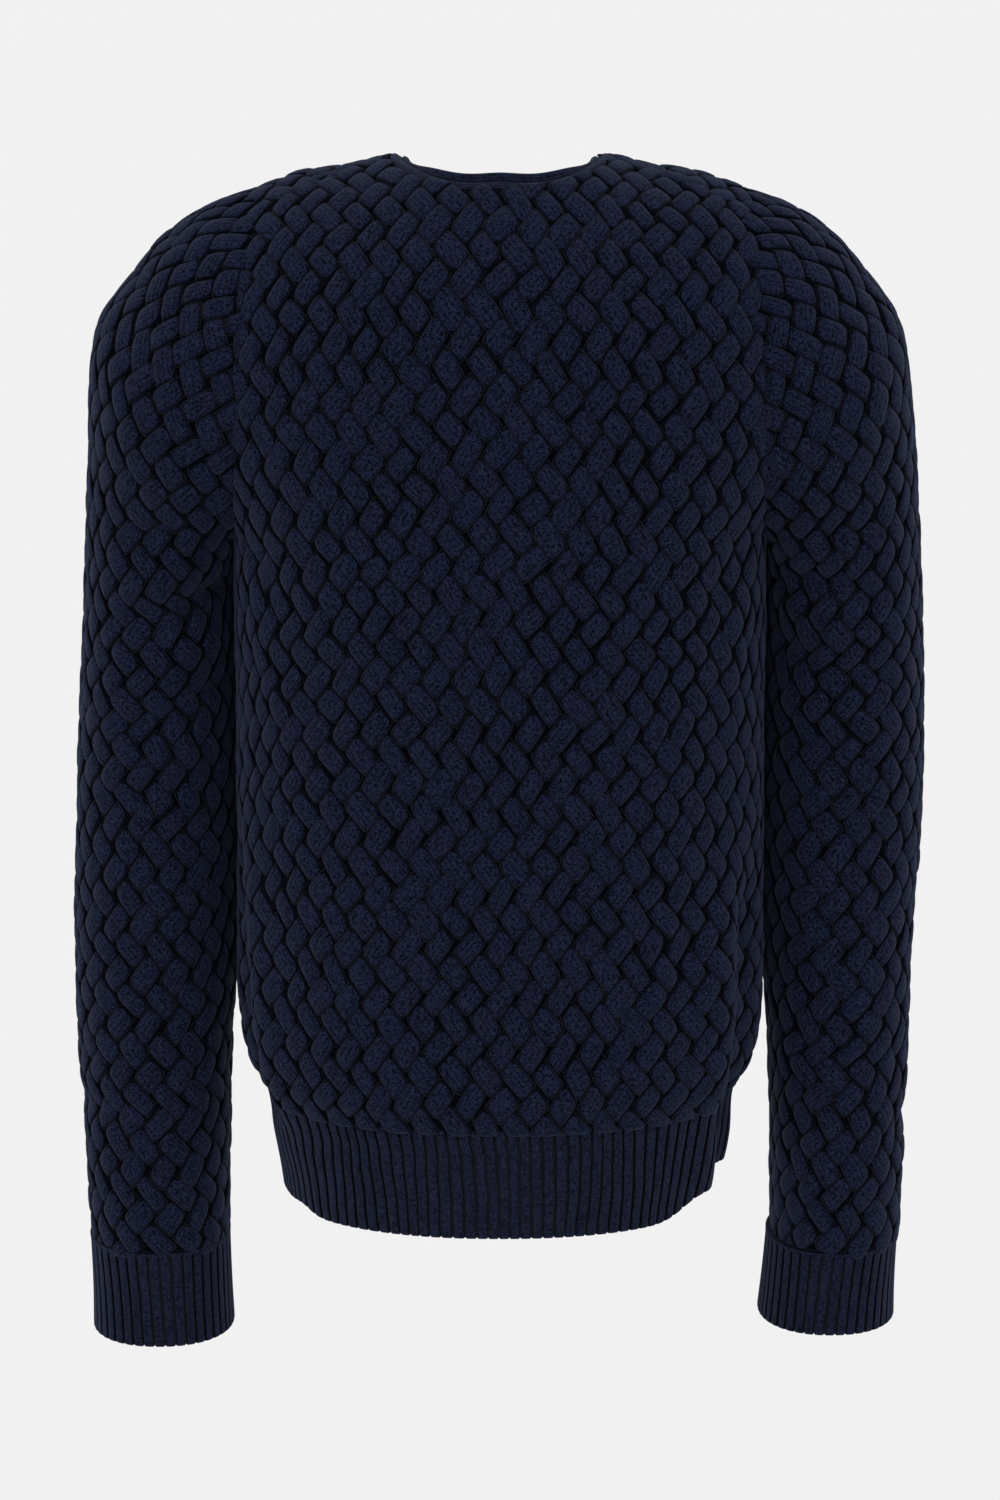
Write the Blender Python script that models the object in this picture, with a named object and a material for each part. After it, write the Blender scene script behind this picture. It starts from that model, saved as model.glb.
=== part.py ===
"""A crew-neck cardigan in chunky basket-weave knit, filled out as if it were worn.

Metres, +Z up. The front faces -Y and the wearer's left is +X. The origin is at the base of the
neck, level with the high points of the shoulders. Each cut piece is one closed wall: its outer
skin carries the weave or the ribs, its inner skin is plain.
"""

import math

import bmesh
import bpy
import numpy as np
from mathutils.geometry import delaunay_2d_cdt


def table(columns, rows):
    """A short table as a dictionary of named columns."""
    return dict(zip(columns, np.array(rows, float).T))


# ---- Driving dimensions -------------------------------------------------------------------

# Knit
WALL = 0.0030                # plain thickness of the weave's wall
WEAVE_HEIGHT = 0.0030        # how far a woven cell stands out from its corners
CELL_WIDTH = 0.0188          # a cell and its gap, across
ROW_HEIGHT = 0.0166          # one row of cells to the next
SLEEVE_ROW_HEIGHT = 0.0176   # the sleeves' cells are a little larger
RIB_PITCH = 0.0070
RIB_HEIGHT = 0.0015
RIB_WALL = 0.0026
SEAM_GAP = 0.0003
UNDERARM_CALM = (0.008, 0.034)  # the weave is pressed flat near the underarm, out to here

# Shoulders and armholes
SHOULDER_X = 0.1500          # top of the armhole
SHOULDER_Z = -0.0225
UNDERARM_X = 0.1640
UNDERARM_Z = -0.2325
ARMHOLE_HALF_DEPTH = 0.0800
ARMHOLE_MID_Z = (SHOULDER_Z + UNDERARM_Z) / 2
SHOULDER_SEAM_BACK = 0.0350  # the shoulder seam lies this far behind the crest
SHOULDER_SEAM_RUN = 0.0700   # and swings back to there over this width
SHOULDER_SEAM_GAP = 0.0008

# Neck: the oval that the back neckline follows from above, and the front one from the front
NECK_HALF_WIDTH = 0.0680
NECK_BACK = 0.0700
NECK_BACK_POWER = 2.2
NECK_DROP = 0.0840
NECK_DROP_POWER = 2.3
NECK_BAND_HEIGHT = 0.0120
NECK_BAND_THICKNESS = 0.0042
NECK_BAND_GAP = 0.0007

# Front bands and buttons
BAND_WIDTH = 0.0280
BAND_THICKNESS = 0.0035
BAND_PROUD = 0.0020
BUTTON_COUNT = 6
BUTTON_RADIUS = 0.0100
BUTTON_THICKNESS = 0.0040
BUTTON_TOP_DROP = 0.0220     # first button below the top of the band
BUTTON_HEM_RISE = 0.0300     # last button above the hem

# Heights
HEM_SEAM_Z = -0.5950
HEM_Z = -0.6700

# Height of the shoulder crest over its distance from the middle
CREST = table(
    ("x", "z"),
    [
        (0.000, 0.0160),
        (0.040, 0.0060),
        (0.068, -0.0040),
        (0.095, -0.0085),
        (0.121, -0.0120),
        (SHOULDER_X, SHOULDER_Z),
    ],
)

# Level rings of the body: half width at the side seam, depth at the middle of the back and of
# the front, and how square the ring is
BODY = table(
    ("z", "half_width", "back", "front", "power"),
    [
        (-0.6700, 0.1385, 0.0965, 0.0975, 2.20),
        (-0.6300, 0.1455, 0.1000, 0.1000, 2.20),
        (HEM_SEAM_Z, 0.1515, 0.1025, 0.1020, 2.25),
        (-0.5800, 0.1590, 0.1040, 0.1050, 2.30),
        (-0.5600, 0.1640, 0.1045, 0.1070, 2.35),
        (-0.5300, 0.1660, 0.1045, 0.1080, 2.40),
        (-0.4700, 0.1655, 0.1050, 0.1090, 2.40),
        (-0.4000, 0.1645, 0.1070, 0.1110, 2.40),
        (-0.3200, 0.1640, 0.1110, 0.1135, 2.45),
        (-0.2400, 0.1640, 0.1155, 0.1130, 2.50),
        (-0.1800, 0.1640, 0.1165, 0.1070, 2.50),
        (ARMHOLE_MID_Z, 0.1640, 0.1150, 0.0980, 2.50),
    ],
)

# Soft folds that run down the body: which panel (+1 back, -1 front), which side (+1 is the
# wearer's left), where each starts and ends, its distance from the middle at both ends, its half
# width, and how far it stands out (+) or sinks in (-)
FOLDS = table(
    ("panel", "side", "z_top", "z_end", "s_top", "s_end", "half_width", "height"),
    [
        (+1, +1, -0.400, -0.600, 0.178, 0.154, 0.014, +0.0040),
        (+1, +1, -0.400, -0.600, 0.204, 0.180, 0.018, -0.0070),
        (+1, -1, -0.420, -0.690, 0.150, 0.144, 0.014, +0.0045),
        (+1, -1, -0.420, -0.690, 0.178, 0.170, 0.018, -0.0090),
        (-1, +1, -0.430, -0.640, 0.150, 0.140, 0.020, -0.0060),
        (-1, -1, -0.400, -0.620, 0.165, 0.150, 0.020, -0.0060),
    ],
)
FOLD_START = 0.070           # a fold fades in and out over this height

# Sections of a sleeve from the armhole to the cuff: its outer point, its inner point, the half
# depth, how far its middle lies behind the shoulder, how square it is, and how much further out
# the outer point of the left and of the right sleeve lies
SLEEVE = table(
    ("out_x", "out_z", "in_x", "in_z", "half_depth", "mid_y", "power", "left", "right"),
    [
        (SHOULDER_X, SHOULDER_Z, UNDERARM_X, UNDERARM_Z, ARMHOLE_HALF_DEPTH, 0.0, 2.0, 0.0, 0.0),
        (0.1750, -0.0312, 0.1655, -0.2360, 0.0800, 0.000, 2.0, 0.000, 0.000),
        (0.2030, -0.0490, 0.1673, -0.2400, 0.0795, -0.002, 2.0, 0.000, 0.000),
        (0.2283, -0.0780, 0.1690, -0.2450, 0.0785, -0.004, 2.0, 0.000, 0.000),
        (0.2458, -0.1020, 0.1700, -0.2495, 0.0770, -0.007, 2.1, 0.000, -0.001),
        (0.2522, -0.1350, 0.1705, -0.2540, 0.0750, -0.011, 2.1, 0.000, 0.000),
        (0.2548, -0.1650, 0.1706, -0.2580, 0.0730, -0.015, 2.2, -0.001, 0.001),
        (0.2575, -0.2050, 0.1706, -0.2620, 0.0710, -0.020, 2.2, -0.001, 0.002),
        (0.2608, -0.2620, 0.1705, -0.2700, 0.0690, -0.026, 2.2, -0.001, 0.003),
        (0.2657, -0.3300, 0.1703, -0.3300, 0.0660, -0.031, 2.2, -0.001, 0.002),
        (0.2695, -0.4200, 0.1703, -0.4200, 0.0630, -0.035, 2.2, 0.001, 0.000),
        (0.2695, -0.5000, 0.1722, -0.5000, 0.0600, -0.036, 2.2, 0.004, -0.004),
        (0.2680, -0.5800, 0.1785, -0.5800, 0.0560, -0.034, 2.2, 0.005, -0.004),
        (0.2665, -0.6500, 0.1805, -0.6500, 0.0520, -0.031, 2.2, 0.003, -0.004),
        (0.2630, -0.7090, 0.1815, -0.7090, 0.0480, -0.029, 2.2, 0.004, -0.002),
    ],
)
SLEEVE_CELLS_ROUND = 16
SLEEVE_FAN_END = 10          # rings over which the armhole's own curve blends into the sections

# Cuffs: side (+1 left), top and bottom, inner and outer points there, half depths, middle
CUFFS = table(
    ("side", "z_top", "z_end", "in_top", "out_top", "in_end", "out_end", "depth_top", "depth_end",
     "mid_y"),
    [
        (+1, -0.7095, -0.7745, 0.1795, 0.2710, 0.1775, 0.2705, 0.0485, 0.0470, -0.029),
        (-1, -0.7095, -0.7665, 0.1770, 0.2630, 0.1720, 0.2620, 0.0485, 0.0470, -0.029),
    ],
)
CUFF_RIBS = 36

NAVY = (0.0120, 0.0160, 0.0340, 1.0)
NAVY_RIB = (0.0130, 0.0175, 0.0360, 1.0)
NAVY_HORN = (0.0100, 0.0120, 0.0200, 1.0)
KNIT_ROUGHNESS = 0.95
HORN_ROUGHNESS = 0.35

COLUMN_SAMPLES = 65
CURVE_SAMPLES = 120
ARC_SAMPLES = 30
LEVEL_SAMPLES = 80
EDGE_SAMPLES = 120
NECK_SAMPLES = 60
NECK_BAND_STATIONS = 40
INNER_ROW_STEP = 4
INNER_EDGE_PITCH = 0.034
EDGE_PITCH = {"neck": 0.009, "shoulder": 0.010, "armhole": 0.012, "side": 0.016, "hem": 0.0094,
              "band": 0.016}


# ---- Curves and tables --------------------------------------------------------------------

def smooth(tab, key, name, value):
    """A column of a table read at any value of its key, on a smooth curve through its rows."""
    x, y = tab[key], tab[name]
    if x[0] > x[-1]:
        x, y = x[::-1], y[::-1]
    slope = np.gradient(y, x)
    value = np.clip(value, x[0], x[-1])
    i = np.clip(np.searchsorted(x, value) - 1, 0, len(x) - 2)
    span = x[i + 1] - x[i]
    t = (value - x[i]) / span
    return (
        y[i] * (1 + 2 * t) * (1 - t) ** 2
        + slope[i] * span * t * (1 - t) ** 2
        + y[i + 1] * t * t * (3 - 2 * t)
        + slope[i + 1] * span * t * t * (t - 1)
    )


def ease(t):
    """0 below 0, 1 above 1, and a smooth step between."""
    t = np.clip(t, 0.0, 1.0)
    return t * t * (3 - 2 * t)


def lengths(points):
    """Distance along a polyline at each of its points."""
    steps = np.linalg.norm(np.diff(points, axis=0), axis=1)
    return np.concatenate([[0.0], np.cumsum(steps)])


def read_at(points, at, where):
    """Points of a polyline at the distances asked for."""
    return np.stack([np.interp(where, at, points[:, i]) for i in range(points.shape[1])], 1)


def even(points, count):
    """The polyline again, in evenly spaced points."""
    at = lengths(points)
    return read_at(points, at, np.linspace(0, at[-1], count))


def unit(v):
    return v / np.maximum(np.linalg.norm(v, axis=-1, keepdims=True), 1e-12)


def signed_power(v, p):
    return np.sign(v) * np.abs(v) ** p


# ---- The body's shape ---------------------------------------------------------------------

def armhole_x(z):
    """The armhole lies in a plane that leans out towards the underarm."""
    return SHOULDER_X + (UNDERARM_X - SHOULDER_X) * (SHOULDER_Z - z) / (SHOULDER_Z - UNDERARM_Z)


def seam_point(z):
    """Where a level ring ends: on the armhole above the underarm, on the side seam below it."""
    if z <= UNDERARM_Z:
        return float(smooth(BODY, "z", "half_width", z)), 0.0
    rise = (z - ARMHOLE_MID_Z) / (SHOULDER_Z - ARMHOLE_MID_Z)
    return armhole_x(z), ARMHOLE_HALF_DEPTH * math.sqrt(max(0.0, 1 - rise * rise))


def ring_curve(z, panel, x_start):
    """Half of a level ring of the back (+1) or front (-1), from x_start to its seam."""
    depth = float(smooth(BODY, "z", "back" if panel > 0 else "front", z))
    power = float(smooth(BODY, "z", "power", z))
    x_seam, y_seam = seam_point(z)
    lean = math.acos((y_seam / depth) ** (power / 2))
    x_full = x_seam / math.sin(lean) ** (2 / power)
    start = math.asin((x_start / x_full) ** (power / 2)) if x_start else 0.0
    a = np.linspace(start, lean, CURVE_SAMPLES)
    x = x_full * np.sin(a) ** (2 / power)
    y = panel * depth * np.abs(np.cos(a)) ** (2 / power)
    x[-1], y[-1] = x_seam, panel * y_seam
    return np.stack([x, y, np.full_like(x, z)], 1)


def arc_point(crest, level, a):
    """A quarter ellipse from the shoulder crest (a = 0) to the middle of the armhole."""
    fall = 1 - math.cos(a)
    return np.array(
        [
            crest[0] + (level[0] - crest[0]) * fall,
            level[1] * math.sin(a),
            crest[2] + (level[2] - crest[2]) * fall,
        ]
    )


def neck_angle(crest, level, panel):
    """Where that arc crosses the neckline, or 0 when it passes outside the neck."""
    high_point = float(smooth(CREST, "x", "z", NECK_HALF_WIDTH))

    def outside(a):
        x, y, z = arc_point(crest, level, a)
        across = abs(x) / NECK_HALF_WIDTH
        if panel > 0:
            return across ** NECK_BACK_POWER + (y / NECK_BACK) ** NECK_BACK_POWER > 1
        fallen = max(0.0, high_point - z) / NECK_DROP
        return across ** NECK_DROP_POWER + fallen ** NECK_DROP_POWER > 1

    if outside(0.0):
        return 0.0
    low, high = 0.0, math.pi / 2
    for _ in range(40):
        middle = (low + high) / 2
        low, high = (low, middle) if outside(middle) else (middle, high)
    return high


def shoulder_angle(crest, level):
    """Where the shoulder seam crosses the back's arc."""
    behind = SHOULDER_SEAM_BACK * float(ease((crest[0] - NECK_HALF_WIDTH) / SHOULDER_SEAM_RUN))
    return math.asin(behind / abs(level[1]))


def crest_points(x_start):
    x = np.linspace(x_start, SHOULDER_X, COLUMN_SAMPLES)
    return np.stack([x, np.zeros_like(x), smooth(CREST, "x", "z", x)], 1)


def arc_line(crest, level, behind, panel, stop=math.pi / 2):
    """The start of a column: from the shoulder seam over the crest and down, as far as stop."""
    seam = shoulder_angle(crest, behind)
    if panel > 0:
        return [arc_point(crest, level, a) for a in np.linspace(seam, stop, ARC_SAMPLES)]
    over = [arc_point(crest, behind, a) for a in np.linspace(seam, 0, 8)[:-1]] if seam else []
    return over + [arc_point(crest, level, a) for a in np.linspace(0, stop, ARC_SAMPLES)]


class Panel:
    """Half of a front or a back, laid out in rows of cells.

    A place on it is (s, r): s metres from the middle along row r. Rows run from the shoulder
    seam, r = 0, to the hem seam. Inside the neck they carry on over a shoulder that isn't there,
    so that they stay straight, and the neckline cuts them.
    """

    def __init__(self, panel, side, x_start, z_end):
        self.panel, self.side, self.x_start = panel, side, x_start
        self.crest = crest_points(x_start)
        self.level = even(ring_curve(ARMHOLE_MID_Z, panel, x_start), COLUMN_SAMPLES)
        self.behind = even(ring_curve(ARMHOLE_MID_Z, +1, x_start), COLUMN_SAMPLES)
        heights = np.linspace(ARMHOLE_MID_Z, z_end, LEVEL_SAMPLES)[1:]
        heights = np.unique(np.append(heights, UNDERARM_Z))[::-1]
        rings = [even(ring_curve(z, panel, x_start), COLUMN_SAMPLES) for z in heights]
        lines = []
        for c in range(COLUMN_SAMPLES):
            top = arc_line(self.crest[c], self.level[c], self.behind[c], panel)
            lines.append(np.array(top + [ring[c] for ring in rings]))
        at = [lengths(line) for line in lines]
        self.total = np.array([a[-1] for a in at])
        self.rows = round(float(self.total.mean()) / ROW_HEIGHT)
        edge = lines[-1]
        underarm = float(np.interp(-UNDERARM_Z, -edge[:, 2], at[-1])) / self.total[-1]
        self.corner = round(underarm * self.rows)
        share = np.linspace(0, 1, COLUMN_SAMPLES) ** 2
        even_share = self.corner / self.rows
        self.knot = even_share + (underarm - even_share) * share
        grid = np.empty((self.rows + 1, COLUMN_SAMPLES, 3))
        for c, line in enumerate(lines):
            t = np.interp(np.arange(self.rows + 1), [0, self.corner, self.rows],
                          [0, self.knot[c], 1])
            grid[:, c] = read_at(line, at[c], t * self.total[c])
        grid *= np.array([side, 1.0, 1.0])
        self.grid = settle_folds(grid, panel, side, x_start)
        self.at = distances_across(self.grid, x_start)
        self.out = grid_normals(self.grid) * side * panel

    def row_line(self, r, values):
        """Values along row r, which may lie between two rows, with the distances along it."""
        low = min(int(r), self.rows - 1)
        part = r - low
        return ((1 - part) * values[low] + part * values[low + 1],
                (1 - part) * self.at[low] + part * self.at[low + 1])

    def place(self, s, r):
        """Points and outward directions at places (s, r)."""
        points, out = np.empty((len(s), 3)), np.empty((len(s), 3))
        for r_here in np.unique(r):
            pick = r == r_here
            for values, result in ((self.grid, points), (self.out, out)):
                line, at = self.row_line(r_here, values)
                result[pick] = read_at(line, at, s[pick])
        return points, unit(out)

    def edge(self, start, end):
        """Places down the outer edge, from row start to row end."""
        r = np.linspace(start, end, EDGE_SAMPLES)
        return np.stack([np.interp(r, np.arange(self.rows + 1), self.at[:, -1]), r], 1)

    def neckline(self):
        """Places along the neckline, from the middle out to the shoulder seam."""
        share = np.linspace(0, 1, COLUMN_SAMPLES)
        reach = (NECK_HALF_WIDTH - self.x_start) / (SHOULDER_X - self.x_start)
        places = []
        for f in reach * np.sin(np.linspace(0, math.pi / 2, NECK_SAMPLES)):
            crest, level, behind = (
                read_at(line, share, [f])[0] for line in (self.crest, self.level, self.behind))
            stop = neck_angle(crest, level, self.panel)
            line = np.array(arc_line(crest, level, behind, self.panel, stop))
            t = lengths(line)[-1] / float(np.interp(f, share, self.total))
            knot = float(np.interp(f, share, self.knot))
            r = float(np.interp(t, [0, knot, 1], [0, self.corner, self.rows]))
            _, at = self.row_line(r, self.grid)
            places.append((float(np.interp(f, share, at)), r))
        places[-1] = (places[-1][0], 0.0)
        return np.array(places)


def grid_normals(grid, closed=False):
    """Outward unit normals of a grid whose rows run down and whose columns run left to right."""
    wide = np.concatenate([grid[:, -2:-1], grid, grid[:, 1:2]], 1) if closed else grid
    across = np.gradient(wide, axis=1)
    if closed:
        across = across[:, 1:-1]
    down = np.gradient(grid, axis=0)
    return unit(np.cross(across, down))


def fold_height(panel, side, along, z):
    """How far the folds move a point that lies this far from the middle."""
    moved = np.zeros_like(along)
    for i in range(len(FOLDS["side"])):
        fold = {name: column[i] for name, column in FOLDS.items()}
        if fold["panel"] != panel:
            continue
        t = (z - fold["z_top"]) / (fold["z_end"] - fold["z_top"])
        middle = fold["s_top"] + (fold["s_end"] - fold["s_top"]) * np.clip(t, 0, 1)
        shape = np.exp(-(((along - middle) / fold["half_width"]) ** 2))
        fade = ease((fold["z_top"] - z) / FOLD_START) * ease((z - fold["z_end"]) / 0.02 + 1)
        moved += np.where(side == fold["side"], fold["height"] * shape * fade, 0.0)
    return moved


def distances_across(grid, x_start):
    """Distance of each grid point from the middle of the panel, along its row."""
    steps = np.linalg.norm(np.diff(grid, axis=1), axis=2)
    start = np.zeros((grid.shape[0], 1))
    return np.concatenate([start, np.cumsum(steps, 1)], 1) + x_start


def settle_folds(grid, panel, side, x_start):
    """The half panel with its folds, still meeting its neighbours at the seam."""
    along = distances_across(grid, x_start)
    out = grid_normals(grid) * side * panel
    out[:, :, 2] = 0.0
    out = unit(out)
    room = ease((along[:, -1:] - along) / 0.012)
    moved = fold_height(panel, side, along, grid[:, :, 2]) * room
    return grid + out * moved[:, :, None]


def underarm_room(points):
    """How much of the weave's height there is room for: none in the fold under the arm."""
    away = np.hypot(np.abs(points[..., 0]) - UNDERARM_X, points[..., 2] - UNDERARM_Z)
    return ease((away - UNDERARM_CALM[0]) / (UNDERARM_CALM[1] - UNDERARM_CALM[0]))


# ---- Walls --------------------------------------------------------------------------------

class Mesh:
    """Vertices and faces gathered for one closed wall."""

    def __init__(self):
        self.points = []
        self.faces = []

    def add(self, points):
        first = len(self.points)
        self.points.extend(map(tuple, points))
        return list(range(first, len(self.points)))

    def strip(self, a, a_at, b, b_at, raised=()):
        """Triangles between two lines of vertices, advancing whichever comes first."""
        i = j = 0
        while i < len(a) - 1 or j < len(b) - 1:
            if j == len(b) - 1:
                step_a = True
            elif i == len(a) - 1:
                step_a = False
            elif abs(a_at[i + 1] - b_at[j + 1]) < 1e-7:
                step_a = a[i] in raised
            else:
                step_a = a_at[i + 1] < b_at[j + 1]
            if step_a:
                self.faces.append((a[i], a[i + 1], b[j]))
                i += 1
            else:
                self.faces.append((a[i], b[j + 1], b[j]))
                j += 1

    def build(self, name, material):
        mesh = bpy.data.meshes.new(name)
        mesh.from_pydata(self.points, [], self.faces)
        bm = bmesh.new()
        bm.from_mesh(mesh)
        bmesh.ops.recalc_face_normals(bm, faces=bm.faces)
        if bm.calc_volume(signed=True) < 0:
            bmesh.ops.reverse_faces(bm, faces=bm.faces)
        bm.to_mesh(mesh)
        bm.free()
        mesh.shade_smooth()
        mesh.set_sharp_from_angle(angle=math.radians(40))
        mesh.materials.append(material)
        thing = bpy.data.objects.new(name, mesh)
        bpy.context.scene.collection.objects.link(thing)
        return thing


def inside(loop, points):
    """How far inside a closed flat outline each point lies, negative outside it."""
    a, b = loop, np.roll(loop, -1, axis=0)
    along = b - a
    rel = points[:, None] - a[None]
    t = np.clip((rel * along).sum(2) / np.maximum((along * along).sum(1), 1e-18), 0, 1)
    away = np.linalg.norm(rel - t[:, :, None] * along, axis=2).min(1)
    y = points[:, None, 1]
    spans = (a[:, 1] > y) != (b[:, 1] > y)
    rise = np.where(along[:, 1] == 0, 1.0, along[:, 1])
    cross = a[:, 0] + (y - a[:, 1]) * along[:, 0] / rise
    hits = (spans & (points[:, None, 0] < cross)).sum(1)
    return np.where(hits % 2 == 1, away, -away)


def flat(places):
    """Places (s, r) as points of a flat pattern, in metres."""
    return places * np.array([1.0, ROW_HEIGHT])


def fill(mesh, place, edge_ids, edge_places, pitch, row_step, rise):
    """Triangles over a flat outline: its edge vertices, and a checker of cells within."""
    outline = flat(edge_places)
    low, high = edge_places.min(0), edge_places.max(0)
    ks = np.arange(math.ceil(low[0] / pitch), math.floor(high[0] / pitch) + 1)
    rs = np.arange(math.ceil(low[1] / row_step) * row_step, high[1], row_step)
    k, r = [v.ravel() for v in np.meshgrid(ks, rs)]
    places = np.stack([k * pitch, r], 1).astype(float)
    depth = inside(outline, flat(places))
    keep = depth > 0.38 * pitch
    k, r, places, depth = k[keep], r[keep].astype(int), places[keep], depth[keep]
    points, out = place(places[:, 0], places[:, 1])
    raised = (k + r // row_step) % 2 == 0
    lift = np.full(len(k), -WALL)
    if rise > 0:
        lift = np.where(raised, rise, 0.0) * underarm_room(points) * ease(depth / pitch)
    ids = edge_ids + mesh.add(points + out * lift[:, None])
    first = len(edge_ids)
    index = {(a, b): first + i for i, (a, b) in enumerate(zip(k, r))}
    valleys = []
    for (a, b), i in index.items():
        if (a + b // row_step) % 2 == 1:
            ends = (index.get((a + way, b + row_step)) for way in (-1, 1))
            valleys += [(i, end) for end in ends if end is not None]
    spots = [tuple(p) for p in np.concatenate([outline, flat(places)])]
    _, _, faces, origin, _, _ = delaunay_2d_cdt(spots, valleys, [list(range(first))], 1, 1e-9)
    for face in faces:
        mesh.faces.append(tuple(ids[origin[v][0]] for v in face))


def wall_panel(name, material, place, sections):
    """A closed wall over a flat pattern: woven outside, plain inside, joined round its edge."""
    mesh = Mesh()
    rings = {}
    for skin in ("outer", "inner"):
        ids, spots, starts = [], [], []
        for part in sections:
            count = part["outer" if skin == "outer" or part["fine"] else "inner"]
            where = np.linspace(0, part["at"][-1], count + 1)
            points = read_at(part["points"], part["at"], where)
            out = unit(read_at(part["out"], part["at"], where))
            starts.append(len(ids))
            drop = 0.0 if skin == "outer" else WALL
            ids += mesh.add((points - out * drop)[:-1])
            spots.append(read_at(part["places"], part["at"], where)[:-1])
        starts.append(len(ids))
        rings[skin] = ids, starts
        pitch, step, rise = (
            (CELL_WIDTH / 2, 1, WEAVE_HEIGHT) if skin == "outer"
            else (CELL_WIDTH, INNER_ROW_STEP, -WALL))
        fill(mesh, place, ids, np.concatenate(spots), pitch, step, rise)
    (outer, outer_starts), (inner, inner_starts) = rings["outer"], rings["inner"]
    for i in range(len(sections)):
        a = (outer + outer[:1])[outer_starts[i]:outer_starts[i + 1] + 1]
        b = (inner + inner[:1])[inner_starts[i]:inner_starts[i + 1] + 1]
        mesh.strip(a, np.linspace(0, 1, len(a)), b, np.linspace(0, 1, len(b)))
    return mesh.build(name, material)


def run(place, places, panel, kind):
    """One stretch of a panel's edge, with the direction that its wall's thickness takes."""
    points, out = place(places[:, 0], places[:, 1])
    if kind == "side":
        points[:, 1] = panel * SEAM_GAP / 2
        out[:, 1:] = 0.0
    if kind == "hem":
        out[:, 2] = 0.0
    if kind == "band":
        out[:, 0] = 0.0
    if kind == "shoulder":
        out[:] = (0.0, 0.0, 1.0)
        points[:, 1] += panel * SHOULDER_SEAM_GAP / 2
    at = lengths(points)
    part = {"points": points, "out": unit(out), "at": at, "places": places, "kind": kind}
    part["outer"] = max(2, round(float(at[-1]) / EDGE_PITCH[kind]))
    part["inner"] = max(1, round(float(at[-1]) / INNER_EDGE_PITCH))
    part["fine"] = kind in ("neck", "shoulder")
    return part


def share_corners(sections):
    """Where two stretches meet, the first one's end takes the second one's start."""
    for here, after in zip(sections, sections[1:] + sections[:1]):
        keep, other = (after, here) if after["kind"] in ("shoulder", "side") else (here, after)
        ends = {id(here): -1, id(after): 0}
        for field in ("points", "out"):
            other[field][ends[id(other)]] = keep[field][ends[id(keep)]]


def wall_tube(name, material, rings, out, rise, wall, row_step, point_step):
    """A closed wall round a tube of rings, raised outside and plain inside."""
    mesh = Mesh()
    count = rings.shape[1] - 1

    def loop(ids):
        return ids + ids[:1]

    outer, raised = [], set()
    for r in range(len(rings)):
        ids = mesh.add(rings[r, :-1] + out[r, :-1] * rise[r, :, None])
        raised.update(i for i, up in zip(ids, rise[r]) if up > 0)
        outer.append(loop(ids))
    inner_rows = sorted({*range(0, len(rings) - 1, row_step), len(rings) - 1})
    picks = list(range(0, count, point_step))
    inner = []
    for r in inner_rows:
        inner.append(loop(mesh.add(rings[r, picks] - out[r, picks] * wall)))
    outer_at = np.arange(count + 1)
    inner_at = np.append(picks, count)
    for a, b in zip(outer, outer[1:]):
        mesh.strip(a, outer_at, b, outer_at, raised)
    for a, b in zip(inner, inner[1:]):
        mesh.strip(a, inner_at, b, inner_at)
    mesh.strip(outer[0], outer_at, inner[0], inner_at)
    mesh.strip(outer[-1], outer_at, inner[-1], inner_at)
    return mesh.build(name, material)


# ---- Pieces -------------------------------------------------------------------------------

def outer_places(panel):
    """Places round one half of a panel, from the neck to the hem, by the name of each stretch."""
    neck = panel.neckline()
    reach = panel.at[0, -1]
    across = np.linspace(neck[-1, 0], reach, EDGE_SAMPLES)
    return {
        "neck": neck,
        "shoulder": np.stack([across, np.zeros_like(across)], 1),
        "armhole": panel.edge(0, panel.corner),
        "side": panel.edge(panel.corner, panel.rows),
    }


def make_back(material):
    """The whole back, from the shoulder seams and the neck to the hem rib."""
    halves = {side: Panel(+1, side, 0.0, HEM_SEAM_Z) for side in (+1, -1)}

    def place(s, r):
        left, left_out = halves[+1].place(np.abs(s), r)
        right, right_out = halves[-1].place(np.abs(s), r)
        which = (s >= 0)[:, None]
        return np.where(which, left, right), np.where(which, left_out, right_out)

    left, right = outer_places(halves[+1]), outer_places(halves[-1])
    mirror = np.array([-1.0, 1.0])
    rows = halves[+1].rows
    across = np.linspace(left["side"][-1, 0], -right["side"][-1, 0], 2 * EDGE_SAMPLES)
    hem = np.stack([across, np.full_like(across, rows)], 1)
    sections = [run(place, left[kind], +1, kind) for kind in left]
    sections.append(run(place, hem, +1, "hem"))
    sections += [run(place, right[kind][::-1] * mirror, +1, kind) for kind in reversed(right)]
    share_corners(sections)
    wall_panel("back", material, place, sections)
    edges = {+1: even_run(sections[2]), -1: even_run(sections[-3])[::-1]}
    return edges, sections[0]


def make_front(side, material):
    """One front, from its band to the side seam."""
    half = Panel(-1, side, BAND_WIDTH / 2 + SEAM_GAP, HEM_SEAM_Z)
    outer = outer_places(half)
    top = outer["neck"][0, 1]
    r = np.linspace(half.rows, top, EDGE_SAMPLES)
    band = np.stack([np.full_like(r, half.x_start), r], 1)
    across = np.linspace(outer["side"][-1, 0], half.x_start, EDGE_SAMPLES)
    hem = np.stack([across, np.full_like(across, half.rows)], 1)
    sections = [run(half.place, outer[kind], -1, kind) for kind in outer]
    sections.append(run(half.place, hem, -1, "hem"))
    sections.append(run(half.place, band, -1, "band"))
    share_corners(sections)
    name = "front_left" if side > 0 else "front_right"
    wall_panel(name, material, half.place, sections)
    return even_run(sections[2]), sections[0]


def even_run(part):
    where = np.linspace(0, part["at"][-1], part["outer"] + 1)
    return read_at(part["points"], part["at"], where)


def level_row(out, row):
    """Make the wall's edge level along one row."""
    out[row, :, 2] = 0.0
    out[row] = unit(out[row])


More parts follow.
